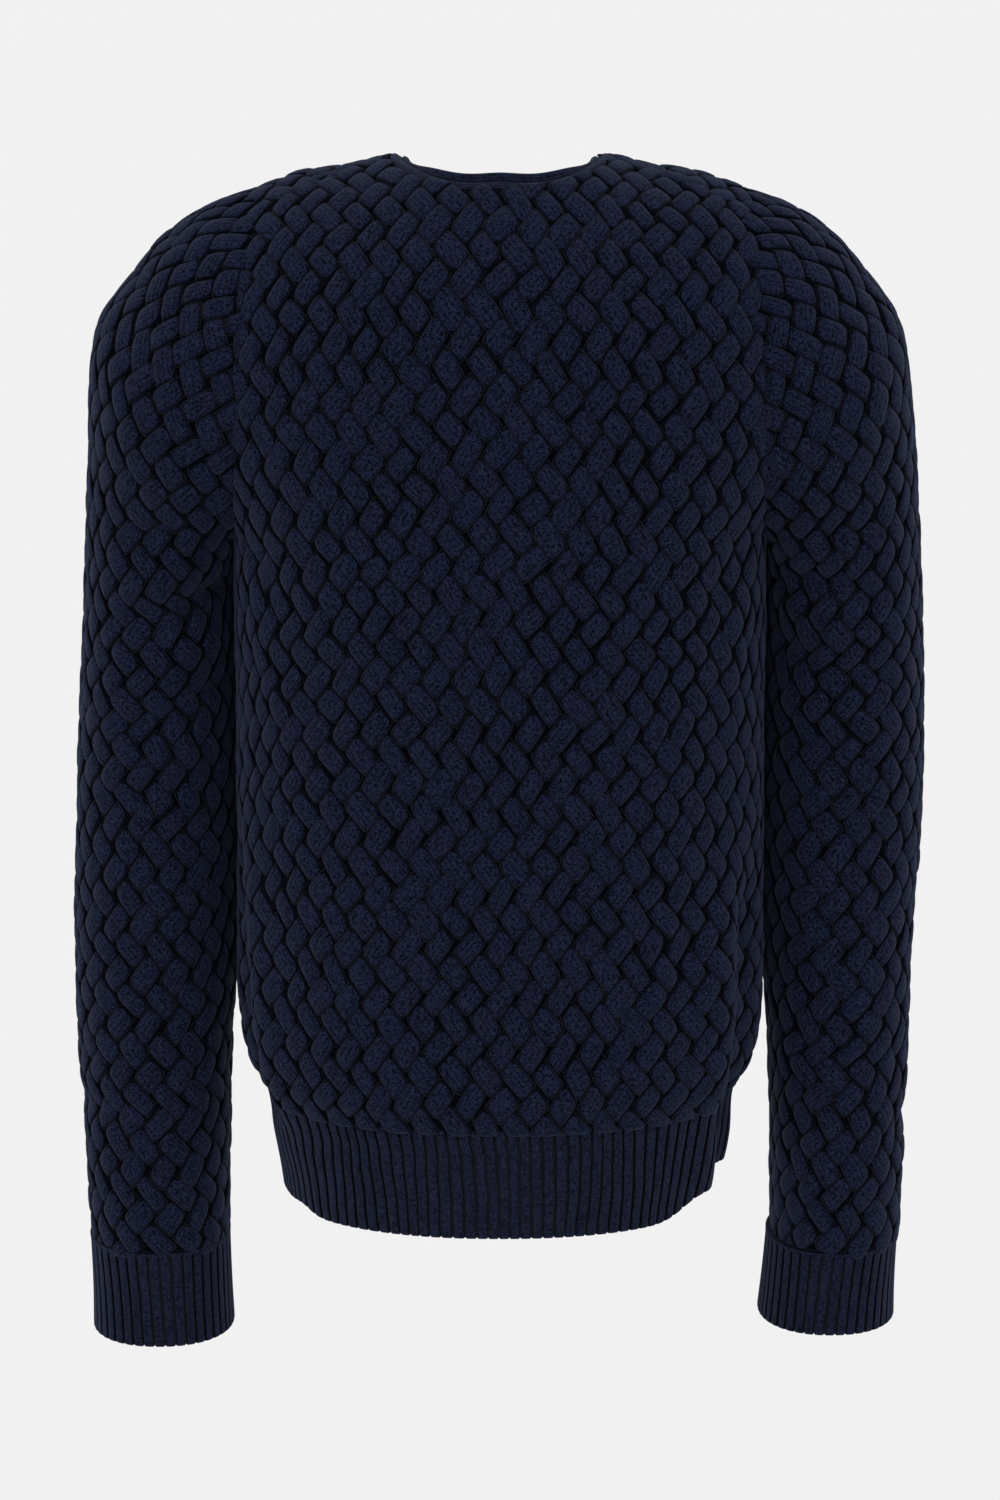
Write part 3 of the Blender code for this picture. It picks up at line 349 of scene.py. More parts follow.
# small creases in the cloth: where each starts and ends on the piece's flat pattern, in metres
# from its middle line (+ to the wearer's left, on a sleeve + to the back) and down from its top,
# then its half width and its height
creaseColumns = ("sFrom", "downFrom", "sTo", "downTo", "halfWidth", "height")
creases = {
    "back": columns(creaseColumns, [
        (+0.176, 0.268, +0.120, 0.345, 0.0095, -0.0030),
        (+0.172, 0.300, +0.132, 0.420, 0.0110, +0.0022),
        (-0.178, 0.262, -0.128, 0.330, 0.0090, -0.0032),
        (-0.170, 0.292, -0.140, 0.400, 0.0120, +0.0024),
        (+0.060, 0.560, +0.020, 0.622, 0.0120, -0.0016),
        (-0.052, 0.548, -0.082, 0.628, 0.0130, -0.0018),
        (-0.118, 0.500, -0.112, 0.618, 0.0100, -0.0022),
    ]),
    "frontLeft": columns(creaseColumns, [
        (+0.172, 0.300, +0.110, 0.372, 0.0095, -0.0030),
        (+0.166, 0.330, +0.128, 0.440, 0.0120, +0.0022),
        (+0.060, 0.585, +0.046, 0.655, 0.0120, -0.0020),
        (+0.112, 0.520, +0.104, 0.640, 0.0110, -0.0024),
    ]),
    "frontRight": columns(creaseColumns, [
        (-0.174, 0.296, -0.122, 0.360, 0.0100, -0.0032),
        (-0.164, 0.335, -0.120, 0.452, 0.0110, +0.0020),
        (-0.052, 0.575, -0.064, 0.650, 0.0130, -0.0018),
        (-0.106, 0.530, -0.098, 0.645, 0.0100, -0.0022),
    ]),
    "sleeveLeft": columns(creaseColumns, [
        (+0.158, 0.238, +0.062, 0.262, 0.0080, -0.0042),
        (+0.160, 0.262, +0.070, 0.296, 0.0085, +0.0030),
        (+0.162, 0.288, +0.048, 0.322, 0.0080, -0.0046),
        (+0.160, 0.322, +0.080, 0.345, 0.0085, +0.0028),
        (+0.158, 0.350, +0.056, 0.392, 0.0090, -0.0040),
        (+0.150, 0.410, +0.040, 0.440, 0.0100, -0.0034),
        (+0.020, 0.452, -0.090, 0.470, 0.0110, -0.0030),
        (-0.158, 0.250, -0.070, 0.285, 0.0085, -0.0042),
        (-0.160, 0.300, -0.060, 0.330, 0.0090, -0.0040),
        (-0.156, 0.372, -0.030, 0.405, 0.0100, -0.0036),
        (-0.140, 0.430, -0.050, 0.425, 0.0110, +0.0024),
        (+0.130, 0.560, +0.050, 0.590, 0.0120, -0.0026),
        (+0.090, 0.648, -0.020, 0.640, 0.0100, -0.0028),
        (-0.040, 0.655, -0.120, 0.640, 0.0100, -0.0026),
    ]),
    "sleeveRight": columns(creaseColumns, [
        (+0.160, 0.242, +0.070, 0.258, 0.0080, -0.0040),
        (+0.158, 0.272, +0.058, 0.300, 0.0085, -0.0044),
        (+0.160, 0.296, +0.084, 0.322, 0.0085, +0.0030),
        (+0.162, 0.330, +0.050, 0.356, 0.0085, -0.0042),
        (+0.156, 0.376, +0.070, 0.410, 0.0095, -0.0036),
        (+0.148, 0.430, +0.030, 0.470, 0.0110, -0.0032),
        (-0.158, 0.256, -0.064, 0.290, 0.0085, -0.0042),
        (-0.160, 0.312, -0.056, 0.338, 0.0090, -0.0038),
        (-0.154, 0.384, -0.036, 0.420, 0.0100, -0.0034),
        (+0.010, 0.480, -0.080, 0.500, 0.0110, -0.0026),
        (+0.120, 0.600, +0.020, 0.618, 0.0110, -0.0028),
        (+0.060, 0.662, -0.050, 0.650, 0.0100, -0.0026),
    ]),
}


def creaseHeight(name, s, down):
    # how far the creases move the cloth at these places of its pattern
    moved = np.zeros(np.broadcast(s, down).shape)
    for crease in eachRow(creases[name]):
        runS, runDown = crease["sTo"] - crease["sFrom"], crease["downTo"] - crease["downFrom"]
        offS, offDown = s - crease["sFrom"], down - crease["downFrom"]
        share = np.clip((offS * runS + offDown * runDown) / (runS ** 2 + runDown ** 2), 0, 1)
        away = np.hypot(offS - share * runS, offDown - share * runDown)
        fade = ease(share * fades["creaseEnds"]) * ease((1 - share) * fades["creaseEnds"])
        moved += crease["height"] * fade * swell(away, crease["halfWidth"])
    return moved


neckRise = {"x": 0.067, "width": 0.022, "height": 0.0020, "from": -0.050, "over": 0.035}


def neckLift(points):
    # the cloth stands up a little where the shoulder meets the neck
    upper = ease((points[..., 2] - neckRise["from"]) / neckRise["over"])
    away = np.abs(points[..., 0]) - neckRise["x"]
    return neckRise["height"] * swell(away, neckRise["width"]) * upper


def places(flat):
    # flat distances, as complex numbers, to places (s, r)
    return np.stack([flat.real, flat.imag / form["rowHeight"]], -1)


flattening = {
    "turns": 90,             # rounds of turning every face and solving for the places
    "leastPull": 0.05,       # bounds on a side's pull, for narrow faces
    "mostPull": 4.0,
    "searchSteps": 12,       # steps that find a place on the surface
}


def relaxed(grid, flat, rows, step, holdStart, weights):
    # The flat pattern with the least stretch, as the cut cloth would lie: the given rows are free,
    # all but the last two, and the rest keeps its distances.
    rows = np.flatnonzero(rows)[::2]
    cols = np.unique(np.append(np.arange(0, grid.shape[1], step), grid.shape[1] - 1))
    pick = np.ix_(rows, cols)
    points, place, weights = grid[pick].reshape(-1, 3), flat[pick].ravel(), weights[pick].ravel()
    index = np.arange(place.size).reshape(len(rows), len(cols))
    a, b, c, d = index[:-1, :-1], index[:-1, 1:], index[1:, :-1], index[1:, 1:]
    faces = np.concatenate([np.stack(f, -1).reshape(-1, 3) for f in ((a, b, c), (d, c, b))])
    along, other = (points[faces[:, i]] - points[faces[:, 0]] for i in (1, 2))
    size = np.linalg.norm(along, axis=1)
    own = np.zeros(faces.shape, complex)
    own[:, 1] = size
    own[:, 2] = (along * other).sum(1) / size
    own[:, 2] += 1j * np.linalg.norm(np.cross(along, other), axis=1) / size
    after, before = np.roll(own, -1, 1), np.roll(own, -2, 1)
    corner = (own - before) * np.conj(after - before)
    pull = np.clip(corner.real / np.maximum(np.abs(corner.imag), 1e-12),
                   flattening["leastPull"], flattening["mostPull"])
    pull *= weights[faces].mean(1)[:, None]
    start, end = faces.ravel(), np.roll(faces, -1, 1).ravel()
    matrix = np.zeros((place.size, place.size))
    for i, j, sign in ((start, start, 1), (end, end, 1), (start, end, -1), (end, start, -1)):
        np.add.at(matrix, (i, j), sign * pull.ravel())
    held = np.zeros(index.shape, bool)
    held[-2:] = True
    held[:, 0] |= holdStart
    free, fixed = index[~held], index[held]
    solve = np.linalg.inv(matrix[np.ix_(free, free)])
    holding = matrix[np.ix_(free, fixed)] @ place[fixed]
    for _ in range(flattening["turns"]):
        turn = (pull * (place[faces] - place[np.roll(faces, -1, 1)]) * np.conj(own - after)).sum(1)
        load = (pull * (turn / np.abs(turn))[:, None] * (own - after)).ravel()
        total = np.zeros(place.size, complex)
        np.add.at(total, start, load)
        np.add.at(total, end, -load)
        place[free] = solve @ (total[free] - holding)
    place = place.reshape(index.shape)
    wide = np.array([np.interp(np.arange(grid.shape[1]), cols, line) for line in place])
    done = flat.copy()
    lines = np.arange(rows[-1] + 1)
    for i in range(grid.shape[1]):
        done[:len(lines), i] = np.interp(lines, rows, wide[:, i])
    return done


class FlatMap:
    # a surface grid with its outward directions and its flat pattern

    def __init__(self, grid, out, flat, rows, step, holdStart, weights):
        self.grid, self.out = grid, out
        self.flat = relaxed(grid, flat, rows, step, holdStart, weights)
        self.near = KDTree(self.flat[::2, ::2].size)
        for row in range(0, len(grid), 2):
            for column in range(0, grid.shape[1], 2):
                spot = self.flat[row, column]
                self.near.insert((spot.real, spot.imag, 0), row * grid.shape[1] + column)
        self.near.balance()

    def read(self, values, row, column):
        # values between the grid's points
        low = np.clip(row.astype(int), 0, len(values) - 2)
        left = np.clip(column.astype(int), 0, values.shape[1] - 2)
        a, b = row - low, column - left
        if values.ndim == 3:
            a, b = a[:, None], b[:, None]
        return ((values[low, left] * (1 - b) + values[low, left + 1] * b) * (1 - a)
                + (values[low + 1, left] * (1 - b) + values[low + 1, left + 1] * b) * a)

    def place(self, s, r):
        # points and outward directions at places (s, r), found by Newton's method
        aim = s + 1j * r * form["rowHeight"]
        found = np.array([self.near.find((a.real, a.imag, 0))[1] for a in aim])
        row, column = (v.astype(float) for v in np.divmod(found, self.grid.shape[1]))
        down, across = np.gradient(self.flat)
        for _ in range(flattening["searchSteps"]):
            off = aim - self.read(self.flat, row, column)
            byRow, byColumn = self.read(down, row, column), self.read(across, row, column)
            spread = (np.conj(byRow) * byColumn).imag
            row = np.clip(row + (np.conj(off) * byColumn).imag / spread, 0, len(self.flat) - 1)
            column = np.clip(column + (np.conj(byRow) * off).imag / spread, 0,
                             self.flat.shape[1] - 1)
        return self.read(self.grid, row, column), unit(self.read(self.out, row, column))


class HalfPanel:
    # Half of a front or a back. A place on it is (s, r): s metres from the middle along row r.

    freeLength = 0.370       # how much of it lies freely, from the top

    def __init__(self, panel, side, xStart, name):
        count, parts = form["columns"], form["rowParts"]
        self.panel, self.xStart = panel, xStart
        x = np.linspace(xStart, form["shoulderX"], count)
        self.crest = np.stack([x, np.zeros_like(x), readColumn(crest, "x", "z", x)], 1)
        self.level = evenLine(ringCurve(armholeMidZ, panel, xStart), count)
        self.behind = evenLine(ringCurve(armholeMidZ, +1, xStart), count)
        heights = np.linspace(armholeMidZ, form["hemSeamZ"], fine["levels"])[1:]
        heights = np.unique(np.append(heights, form["underarmZ"]))[::-1]
        rings = [evenLine(ringCurve(z, panel, xStart), count) for z in heights]
        lines = []
        for c in range(count):
            top = arcLine(self.crest[c], self.level[c], self.behind[c], panel)
            lines.append(np.array(top + [ring[c] for ring in rings]))
        at = [lengths(line) for line in lines]
        self.total = np.array([a[-1] for a in at])
        self.rows = round(float(self.total.mean()) / form["rowHeight"])
        underarm = float(np.interp(-form["underarmZ"], -lines[-1][:, 2], at[-1])) / self.total[-1]
        self.corner = round(underarm * self.rows)
        evenShare = self.corner / self.rows
        self.knot = evenShare + (underarm - evenShare) * np.linspace(0, 1, count) ** 2
        rowsHere = np.arange(self.rows * parts + 1) / parts
        grid = np.empty((len(rowsHere), count, 3))
        for c, line in enumerate(lines):
            t = np.interp(rowsHere, [0, self.corner, self.rows], [0, self.knot[c], 1])
            grid[:, c] = readAt(line, at[c], t * self.total[c])
        grid *= np.array([side, 1.0, 1.0])
        grid = settleFolds(grid, panel, side, xStart)
        grid[:, :, 2] += neckLift(grid)
        along = distancesAcross(grid, xStart)
        height = creaseHeight(name, along * side, rowsHere[:, None] * form["rowHeight"])
        height *= ease((along[:, -1:] - along) / fades["creaseSeam"])
        grid = grid + gridNormals(grid) * (side * panel * height)[:, :, None]
        out = gridNormals(grid) * side * panel
        flat = distancesAcross(grid, xStart) + 1j * rowsHere[:, None] * form["rowHeight"]
        free = rowsHere * form["rowHeight"] < self.freeLength
        self.map = FlatMap(grid, out, flat, free, 2, True, np.ones(flat.shape))
        self.place = self.map.place

    def neckline(self):
        # places from the middle out to the shoulder seam
        share = np.linspace(0, 1, form["columns"])
        reach = (form["neckHalfWidth"] - self.xStart) / (form["shoulderX"] - self.xStart)
        parts = form["rowParts"]
        spots = []
        for f in reach * np.sin(np.linspace(0, math.pi / 2, fine["neck"])):
            top, level, behind = (
                readAt(line, share, [f])[0] for line in (self.crest, self.level, self.behind))
            stop = neckAngle(top, level, self.panel)
            line = np.array(arcLine(top, level, behind, self.panel, stop))
            t = lengths(line)[-1] / float(np.interp(f, share, self.total))
            knot = float(np.interp(f, share, self.knot))
            r = float(np.interp(t, [0, knot, 1], [0, self.corner, self.rows]))
            spots.append((r * parts, f * (form["columns"] - 1)))
        spots[-1] = (0.0, spots[-1][1])
        row, column = np.array(spots).T
        return places(self.map.read(self.map.flat, row, column)), column[-1]

    def outline(self):
        # places all round the half, from the middle of the neck down to the middle of the hem
        neck, column = self.neckline()
        flat = self.map.flat
        rest = places(np.concatenate([flat[0, int(column) + 1:], flat[2:-1:2, -1], flat[-1, -1:]]))
        spill = np.repeat([edgeSpill["neck"], edgeSpill["seam"]], [len(neck), len(rest)])
        return np.concatenate([neck, rest]), spill


# how far the woven lengths reach past each kind of edge, over the piece beside it
edgeSpill = {"seam": 0.0085, "neck": 0.0048, "rib": 0.0042, "band": 0.0}


def section(outPoint, inPoint, halfDepth, midY, power, count):
    # a level cut through a sleeve, from its outer side round the back
    a = np.linspace(0, 2 * math.pi, fine["section"])
    middle, reach = (outPoint + inPoint) / 2, (outPoint - inPoint) / 2
    ring = middle + reach * signedPower(np.cos(a), 2 / power)[:, None]
    ring[:, 1] += midY + halfDepth * signedPower(np.sin(a), 2 / power)
    return evenLine(ring, count + 1)


def armholeRing(count):
    # the armhole's edge as an even ring, over the back, the underarm, then the front
    angles = np.linspace(0, 2 * math.pi, fine["armhole"])
    z = armholeMidZ + (form["shoulderZ"] - armholeMidZ) * np.cos(angles)
    y = form["armholeHalfDepth"] * np.sin(angles)
    return evenLine(np.stack([armholeX(z), y, z], 1), count + 1)


class SleevePattern:
    # A sleeve laid out flat. A place on it is (s, r): s metres from the line down its outer side,
    # + to the back, and r rows down from the top of its cap. Its rings fan about the underarm.

    ringColumns = 180
    fanLength = 0.176        # over this length the armhole's own curve blends into the sections
    freeLength = 0.400       # how much of it lies freely, from the top
    edgeWeight = 0.05        # how little the underarm's edges count, and how wide they are
    edgeWidth = 0.055

    def __init__(self, side, name):
        count = self.ringColumns
        path = np.stack([sleeve["outX"], sleeve["outZ"]], 1)
        tab = dict(sleeve, at=lengths(path))
        tab["outX"] = tab["outX"] + (tab["left"] if side > 0 else tab["right"])
        steps = 4 * round(tab["at"][-1] / form["rowHeight"])
        change = None
        rings = []
        for here in np.linspace(0, tab["at"][-1], steps + 1):
            read = {n: float(readColumn(tab, "at", n, here)) for n in tab if n != "at"}
            ring = section(
                np.array([read["outX"], 0.0, read["outZ"]]),
                np.array([read["inX"], 0.0, read["inZ"]]),
                read["halfDepth"], read["midY"], read["power"], count)
            if change is None:
                change = armholeRing(count) - ring
            ring = ring + change * max(0.0, 1 - here / self.fanLength) ** 2
            ring[:, 0] += 2 * form["seamGap"]
            rings.append(ring * np.array([side, 1.0, 1.0]))
        rings = np.array(rings)
        # from the underarm round the front, the outer line and the back to the underarm
        half = count // 2
        rings = np.concatenate([rings[:, half:-1], rings[:, :half + 1]], 1)
        self.middle = half
        s, down = self.measure(rings)
        height = creaseHeight(name, s, down)
        height *= (ease((down[-1:] - down) / fades["creaseSeam"])
                   * ease((down - down[:1]) / fades["creaseCap"]))
        rings = rings - side * gridNormals(rings, closed=True) * height[:, :, None]
        out = -side * gridNormals(rings, closed=True)
        out[-1, :, 2] = 0.0
        out[0, :, 0] = 0.0
        s, down = self.measure(rings)
        inside = ease((s[:, -1:] - np.abs(s)) / self.edgeWidth)
        free = down[:, self.middle] < self.freeLength
        self.map = FlatMap(rings, unit(out), s + 1j * down, free, 5, False,
                           self.edgeWeight + (1 - self.edgeWeight) * inside)
        self.place = self.map.place

    def measure(self, rings):
        # distances round each ring from the outer line, and down every column to level ends
        across = np.linalg.norm(np.diff(rings, axis=1), axis=2)
        s = np.concatenate([np.zeros((len(rings), 1)), np.cumsum(across, 1)], 1)
        s -= s[:, self.middle:self.middle + 1]
        steps = np.linalg.norm(np.diff(rings, axis=0), axis=2)
        fromTop = np.concatenate([np.zeros((1, rings.shape[1])), np.cumsum(steps, 0)])
        total = fromTop[-1, self.middle]
        return s, fromTop + (total - fromTop[-1:])

    def outline(self):
        # places round the flat sleeve: its cap, one underarm edge, the cuff, the other edge
        flat = self.map.flat
        across = slice(None, None, 3)
        line = np.concatenate([flat[0, across], flat[2:-1:3, -1], flat[-1, across][::-1],
                               flat[2:-1:3, 0][::-1]])
        spill = np.full(len(line), edgeSpill["seam"])
        ends = len(flat[0, across]) + len(flat[2:-1:3, -1])
        spill[ends - 1:ends + len(flat[0, across])] = edgeSpill["rib"]
        return places(line), spill


def flatten(places):
    # places (s, r) as distances on the flat cloth
    return places * np.array([1.0, form["rowHeight"]])


def nearestEdge(loop, points, batch=4000):
    # how far inside a closed flat outline each point lies, the outline's nearest point and the
    # number of the edge it is on
    a, b = loop, np.roll(loop, -1, axis=0)
    along = b - a
    depth, nearest = np.empty(len(points)), np.empty((len(points), 2))
    which = np.empty(len(points), int)
    for start in range(0, len(points), batch):
        p = points[start:start + batch]
        rel = p[:, None] - a[None]
        t = np.clip((rel * along).sum(2) / np.maximum((along * along).sum(1), 1e-18), 0, 1)
        gap = rel - t[:, :, None] * along
        away = np.linalg.norm(gap, axis=2)
        best = away.argmin(1)
        here = np.arange(len(p))
        y = p[:, None, 1]
        spans = (a[:, 1] > y) != (b[:, 1] > y)
        rise = np.where(along[:, 1] == 0, 1.0, along[:, 1])
        cross = a[:, 0] + (y - a[:, 1]) * along[:, 0] / rise
        inside = (spans & (p[:, None, 0] < cross)).sum(1) % 2 == 1
        depth[start:start + len(p)] = np.where(inside, away[here, best], -away[here, best])
        nearest[start:start + len(p)] = p - gap[here, best]
        which[start:start + len(p)] = best
    return depth, nearest, which


# the materials


class Wire:
    # a socket of a shader tree: sums written with it add their own Math nodes

    def __init__(self, tree, socket):
        self.tree, self.socket = tree, socket

    def math(self, operation, *others, clamp=False):
        node = self.tree.nodes.new("ShaderNodeMath")
        node.operation = operation
        node.use_clamp = clamp
        for i, value in enumerate((self, *others)):
            if isinstance(value, Wire):
                self.tree.links.new(value.socket, node.inputs[i])
            else:
                node.inputs[i].default_value = value
        return Wire(self.tree, node.outputs[0])

    def __add__(self, other):
        return self.math("ADD", other)

    def __sub__(self, other):
        return self.math("SUBTRACT", other)

    def __rsub__(self, other):
        return (self * -1.0).math("ADD", other)

    def __mul__(self, other):
        return self.math("MULTIPLY", other)

    def __truediv__(self, other):
        return self.math("DIVIDE", other)

    __radd__ = __add__
    __rmul__ = __mul__

    def sine(self):
        return self.math("SINE")

    def fraction(self):
        return self.math("FRACT")

    def size(self):
        return self.math("ABSOLUTE")

    def clamped(self):
        return self.math("MULTIPLY", 1.0, clamp=True)


class Finish:
    # one material and the nodes that it is made of

    def __init__(self, name):
        self.material = bpy.data.materials.new(name)
        self.material.use_nodes = True
        self.tree = self.material.node_tree
        self.shader = self.tree.nodes["Principled BSDF"]

    def node(self, kind, settings=None, out=0, **values):
        # sockets are given by their name, or by i and their number
        made = self.tree.nodes.new(kind)
        for key, value in (settings or {}).items():
            setattr(made, key, value)
        for key, value in values.items():
            socket = made.inputs[int(key[1:])] if key[1:].isdigit() else made.inputs[key]
            if isinstance(value, Wire):
                self.tree.links.new(value.socket, socket)
            else:
                socket.default_value = value
        return Wire(self.tree, made.outputs[out])

    def split(self, vector):
        # the first two parts of a vector
        parts = self.tree.nodes.new("ShaderNodeSeparateXYZ")
        self.tree.links.new(vector.socket, parts.inputs[0])
        return Wire(self.tree, parts.outputs[0]), Wire(self.tree, parts.outputs[1])

    def attribute(self, name):
        return self.node("ShaderNodeAttribute", {"attribute_name": name}, "Fac")

    def mix(self, share, a, b):
        return self.node("ShaderNodeMix", {"data_type": "RGBA"}, 2, i0=share, i6=a, i7=b)

    def noise(self, scale, detail, rough, vector=None):
        where = vector or self.node("ShaderNodeTexCoord", out="Object")
        return self.node("ShaderNodeTexNoise", Vector=where, Scale=scale, Detail=detail,
                         Roughness=rough)

    def feed(self, name, value):
        self.tree.links.new(value.socket, self.shader.inputs[name])

    def fix(self, values):
        # what is the same all over the surface
        for name, value in values.items():
            self.shader.inputs[name].default_value = value


wool = {
    "cool": (0.0062, 0.0126, 0.0330, 1.0),
    "warm": (0.0108, 0.0114, 0.0330, 1.0),
    "ribCool": (0.0092, 0.0146, 0.0338, 1.0),
    "ribWarm": (0.0124, 0.0135, 0.0338, 1.0),
    "speck": (0.0007, 0.0008, 0.0018, 1.0),      # the dark between stitches
    "loose": (0.0165, 0.0215, 0.0430, 1.0),      # the light on loose fibres
    # painted shade: the colour of grooves, furrows, creases and the dark under the weave
    "paintedShade": (0.0009, 0.0010, 0.0024, 1.0),
    "sheenTint": (0.55, 0.66, 1.00, 1.0),
    "sheen": 0.10,
    "sheenRoughness": 0.45,
    "roughness": 0.95,
    "specular": 0.03,
    "walePitch": 0.0021,     # from one column of stitches to the next
    "ribWalePitch": 0.0014,
    "bandWalePitch": 0.0018,
    "coursePitch": 0.0015,   # and from one row of them to the next
    "slant": 1.3,            # how far a stitch's sides lean, in rows
    "grain": 620.0,          # fuzz in a metre
    "fineGrain": 2.6,        # how much finer the loose fibres are
    "patches": 95.0,         # cloudy patches in a metre
    "toneShare": 0.40,       # how much each woven length, and each patch, sways the colour
    "patchShare": 1.5,
    "looseFine": 4.2,        # how sharply the light fibres show, and how much
    "looseFuzz": 7.5,
    "looseShare": 0.78,
    "speckFuzz": 12.0,       # and the dark specks
    "speckStitch": 2.6,
    "speckShare": 0.97,
    "fuzzMiddle": 0.52,
    "shadeFrom": 0.595,     # where the painted shade begins, how sharply it darkens, and how ragged it is
    "shadeSharp": 8.0,
    "shadeFuzz": 7.0,
    "stitchBump": 0.55,
    "stitchDepth": 0.0005,
    "fuzzBump": 0.55,
    "fuzzDepth": 0.0006,
}


def woolFinish(name, cool, warm, walePitch):
    # knitted wool: rows of small V stitches that follow the piece's own map, dark specks between
    #     # them, loose fibres over them, and painted shade where a piece's values mark grooves
    finish = Finish(name)
    uv = finish.node("ShaderNodeUVMap", {"uv_map": "strand"})
    along, across = finish.split(uv)
    wale = across / walePitch
    slope = (wale.fraction() - 0.5).size()
    course = along / wool["coursePitch"] + slope * wool["slant"]
    wave = (course * (2 * math.pi)).sine() * 0.5 + 0.5
    stitch = wave * 0.55 + (1.0 - slope * 2.0) * 0.45
    fuzz = finish.noise(wool["grain"], 4.0, 0.74)
    fibres = finish.noise(wool["grain"] * wool["fineGrain"], 2.0, 0.55)
    patch = finish.noise(wool["patches"], 3.0, 0.6)
    tone = finish.attribute("tone")
    shade = (tone * wool["toneShare"] + patch * wool["patchShare"] - 0.45).clamped()
    colour = finish.mix(shade, cool, warm)
    light = (fibres - 0.5) * wool["looseFine"] + (fuzz - wool["fuzzMiddle"]) * wool["looseFuzz"]
    colour = finish.mix(light.clamped() * wool["looseShare"], colour, wool["loose"])
    dark = (wool["fuzzMiddle"] - fuzz) * wool["speckFuzz"] + (0.46 - stitch) * wool["speckStitch"]
    colour = finish.mix(dark.clamped() * wool["speckShare"], colour, wool["speck"])
    # painted shade darkens the colour in grooves, furrows and creases, as each piece marks them
    paintedShade = (finish.attribute("paintedShade") - wool["shadeFrom"]) * wool["shadeSharp"]
    paintedShade = paintedShade + (fuzz - 0.5) * wool["shadeFuzz"]
    finish.feed("Base Color", finish.mix(paintedShade.clamped(), colour, wool["paintedShade"]))
    bump = finish.node("ShaderNodeBump", Strength=wool["stitchBump"],
                       Distance=wool["stitchDepth"], Height=stitch)
    bump = finish.node("ShaderNodeBump", Strength=wool["fuzzBump"],
                       Distance=wool["fuzzDepth"], Height=fuzz, Normal=bump)
    finish.feed("Normal", bump)
    finish.fix({
        "Roughness": wool["roughness"], "Specular IOR Level": wool["specular"],
        "Sheen Weight": wool["sheen"], "Sheen Roughness": wool["sheenRoughness"],
        "Sheen Tint": wool["sheenTint"],
    })
    return finish.material


weaveFinish = woolFinish("navyWeave", wool["cool"], wool["warm"], wool["walePitch"])
insideFinish = woolFinish("navyInside", wool["cool"], wool["warm"], wool["walePitch"])
ribFinish = woolFinish("navyRib", wool["ribCool"], wool["ribWarm"], wool["ribWalePitch"])
bandFinish = woolFinish("navyBand", wool["ribCool"], wool["ribWarm"], wool["bandWalePitch"])

horn = {
    "dark": (0.0060, 0.0075, 0.0130, 1.0),
    "light": (0.0180, 0.0200, 0.0290, 1.0),
    "roughness": 0.34,
    "unevenGloss": 0.20,
    "streaks": (60.0, 210.0, 210.0),     # in a metre, along each axis
}


def hornFinish(name):
    # dark polished horn with soft cloudy streaks
    finish = Finish(name)
    where = finish.node("ShaderNodeMapping", i0=finish.node("ShaderNodeTexCoord", out="Object"),
                        i3=horn["streaks"])
    streak = finish.noise(1.0, 3.0, 0.6, where)
    share = ((streak - 0.40) * 3.0).clamped()
    finish.feed("Base Color", finish.mix(share, horn["dark"], horn["light"]))
    finish.feed("Roughness", streak * horn["unevenGloss"] + (horn["roughness"] - 0.10))
    return finish.material


buttonFinish = hornFinish("navyHorn")
print("materials made")


def addPiece(name, points, faces, material, uv, attributes):
    # a piece with its own map for the stitches and its values for the finish
    mesh = bpy.data.meshes.new(name)
    mesh.from_pydata([tuple(p) for p in points], [], [tuple(int(i) for i in f) for f in faces])
    layer = mesh.uv_layers.new(name="strand")
    corner = np.empty(len(mesh.loops), np.int32)
    mesh.loops.foreach_get("vertex_index", corner)
    layer.data.foreach_set("uv", np.asarray(uv, np.float32)[corner].ravel())
    for key, values in attributes.items():
        layer = mesh.attributes.new(key, "FLOAT", "POINT")
        layer.data.foreach_set("value", np.asarray(values, np.float32))
    mesh.shade_smooth()
    mesh.materials.append(material)
    piece = bpy.data.objects.new(name, mesh)
    bpy.context.scene.collection.objects.link(piece)
    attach(piece, "root")
    return piece


def faceOutward(piece, sharp):
    # a closed shell with every face outward
    bm = bmesh.new()
    bm.from_mesh(piece.data)
    bmesh.ops.recalc_face_normals(bm, faces=bm.faces)
    if bm.calc_volume(signed=True) < 0:
        bmesh.ops.reverse_faces(bm, faces=bm.faces)
    bm.to_mesh(piece.data)
    bm.free()
    piece.data.set_sharp_from_angle(angle=math.radians(sharp))


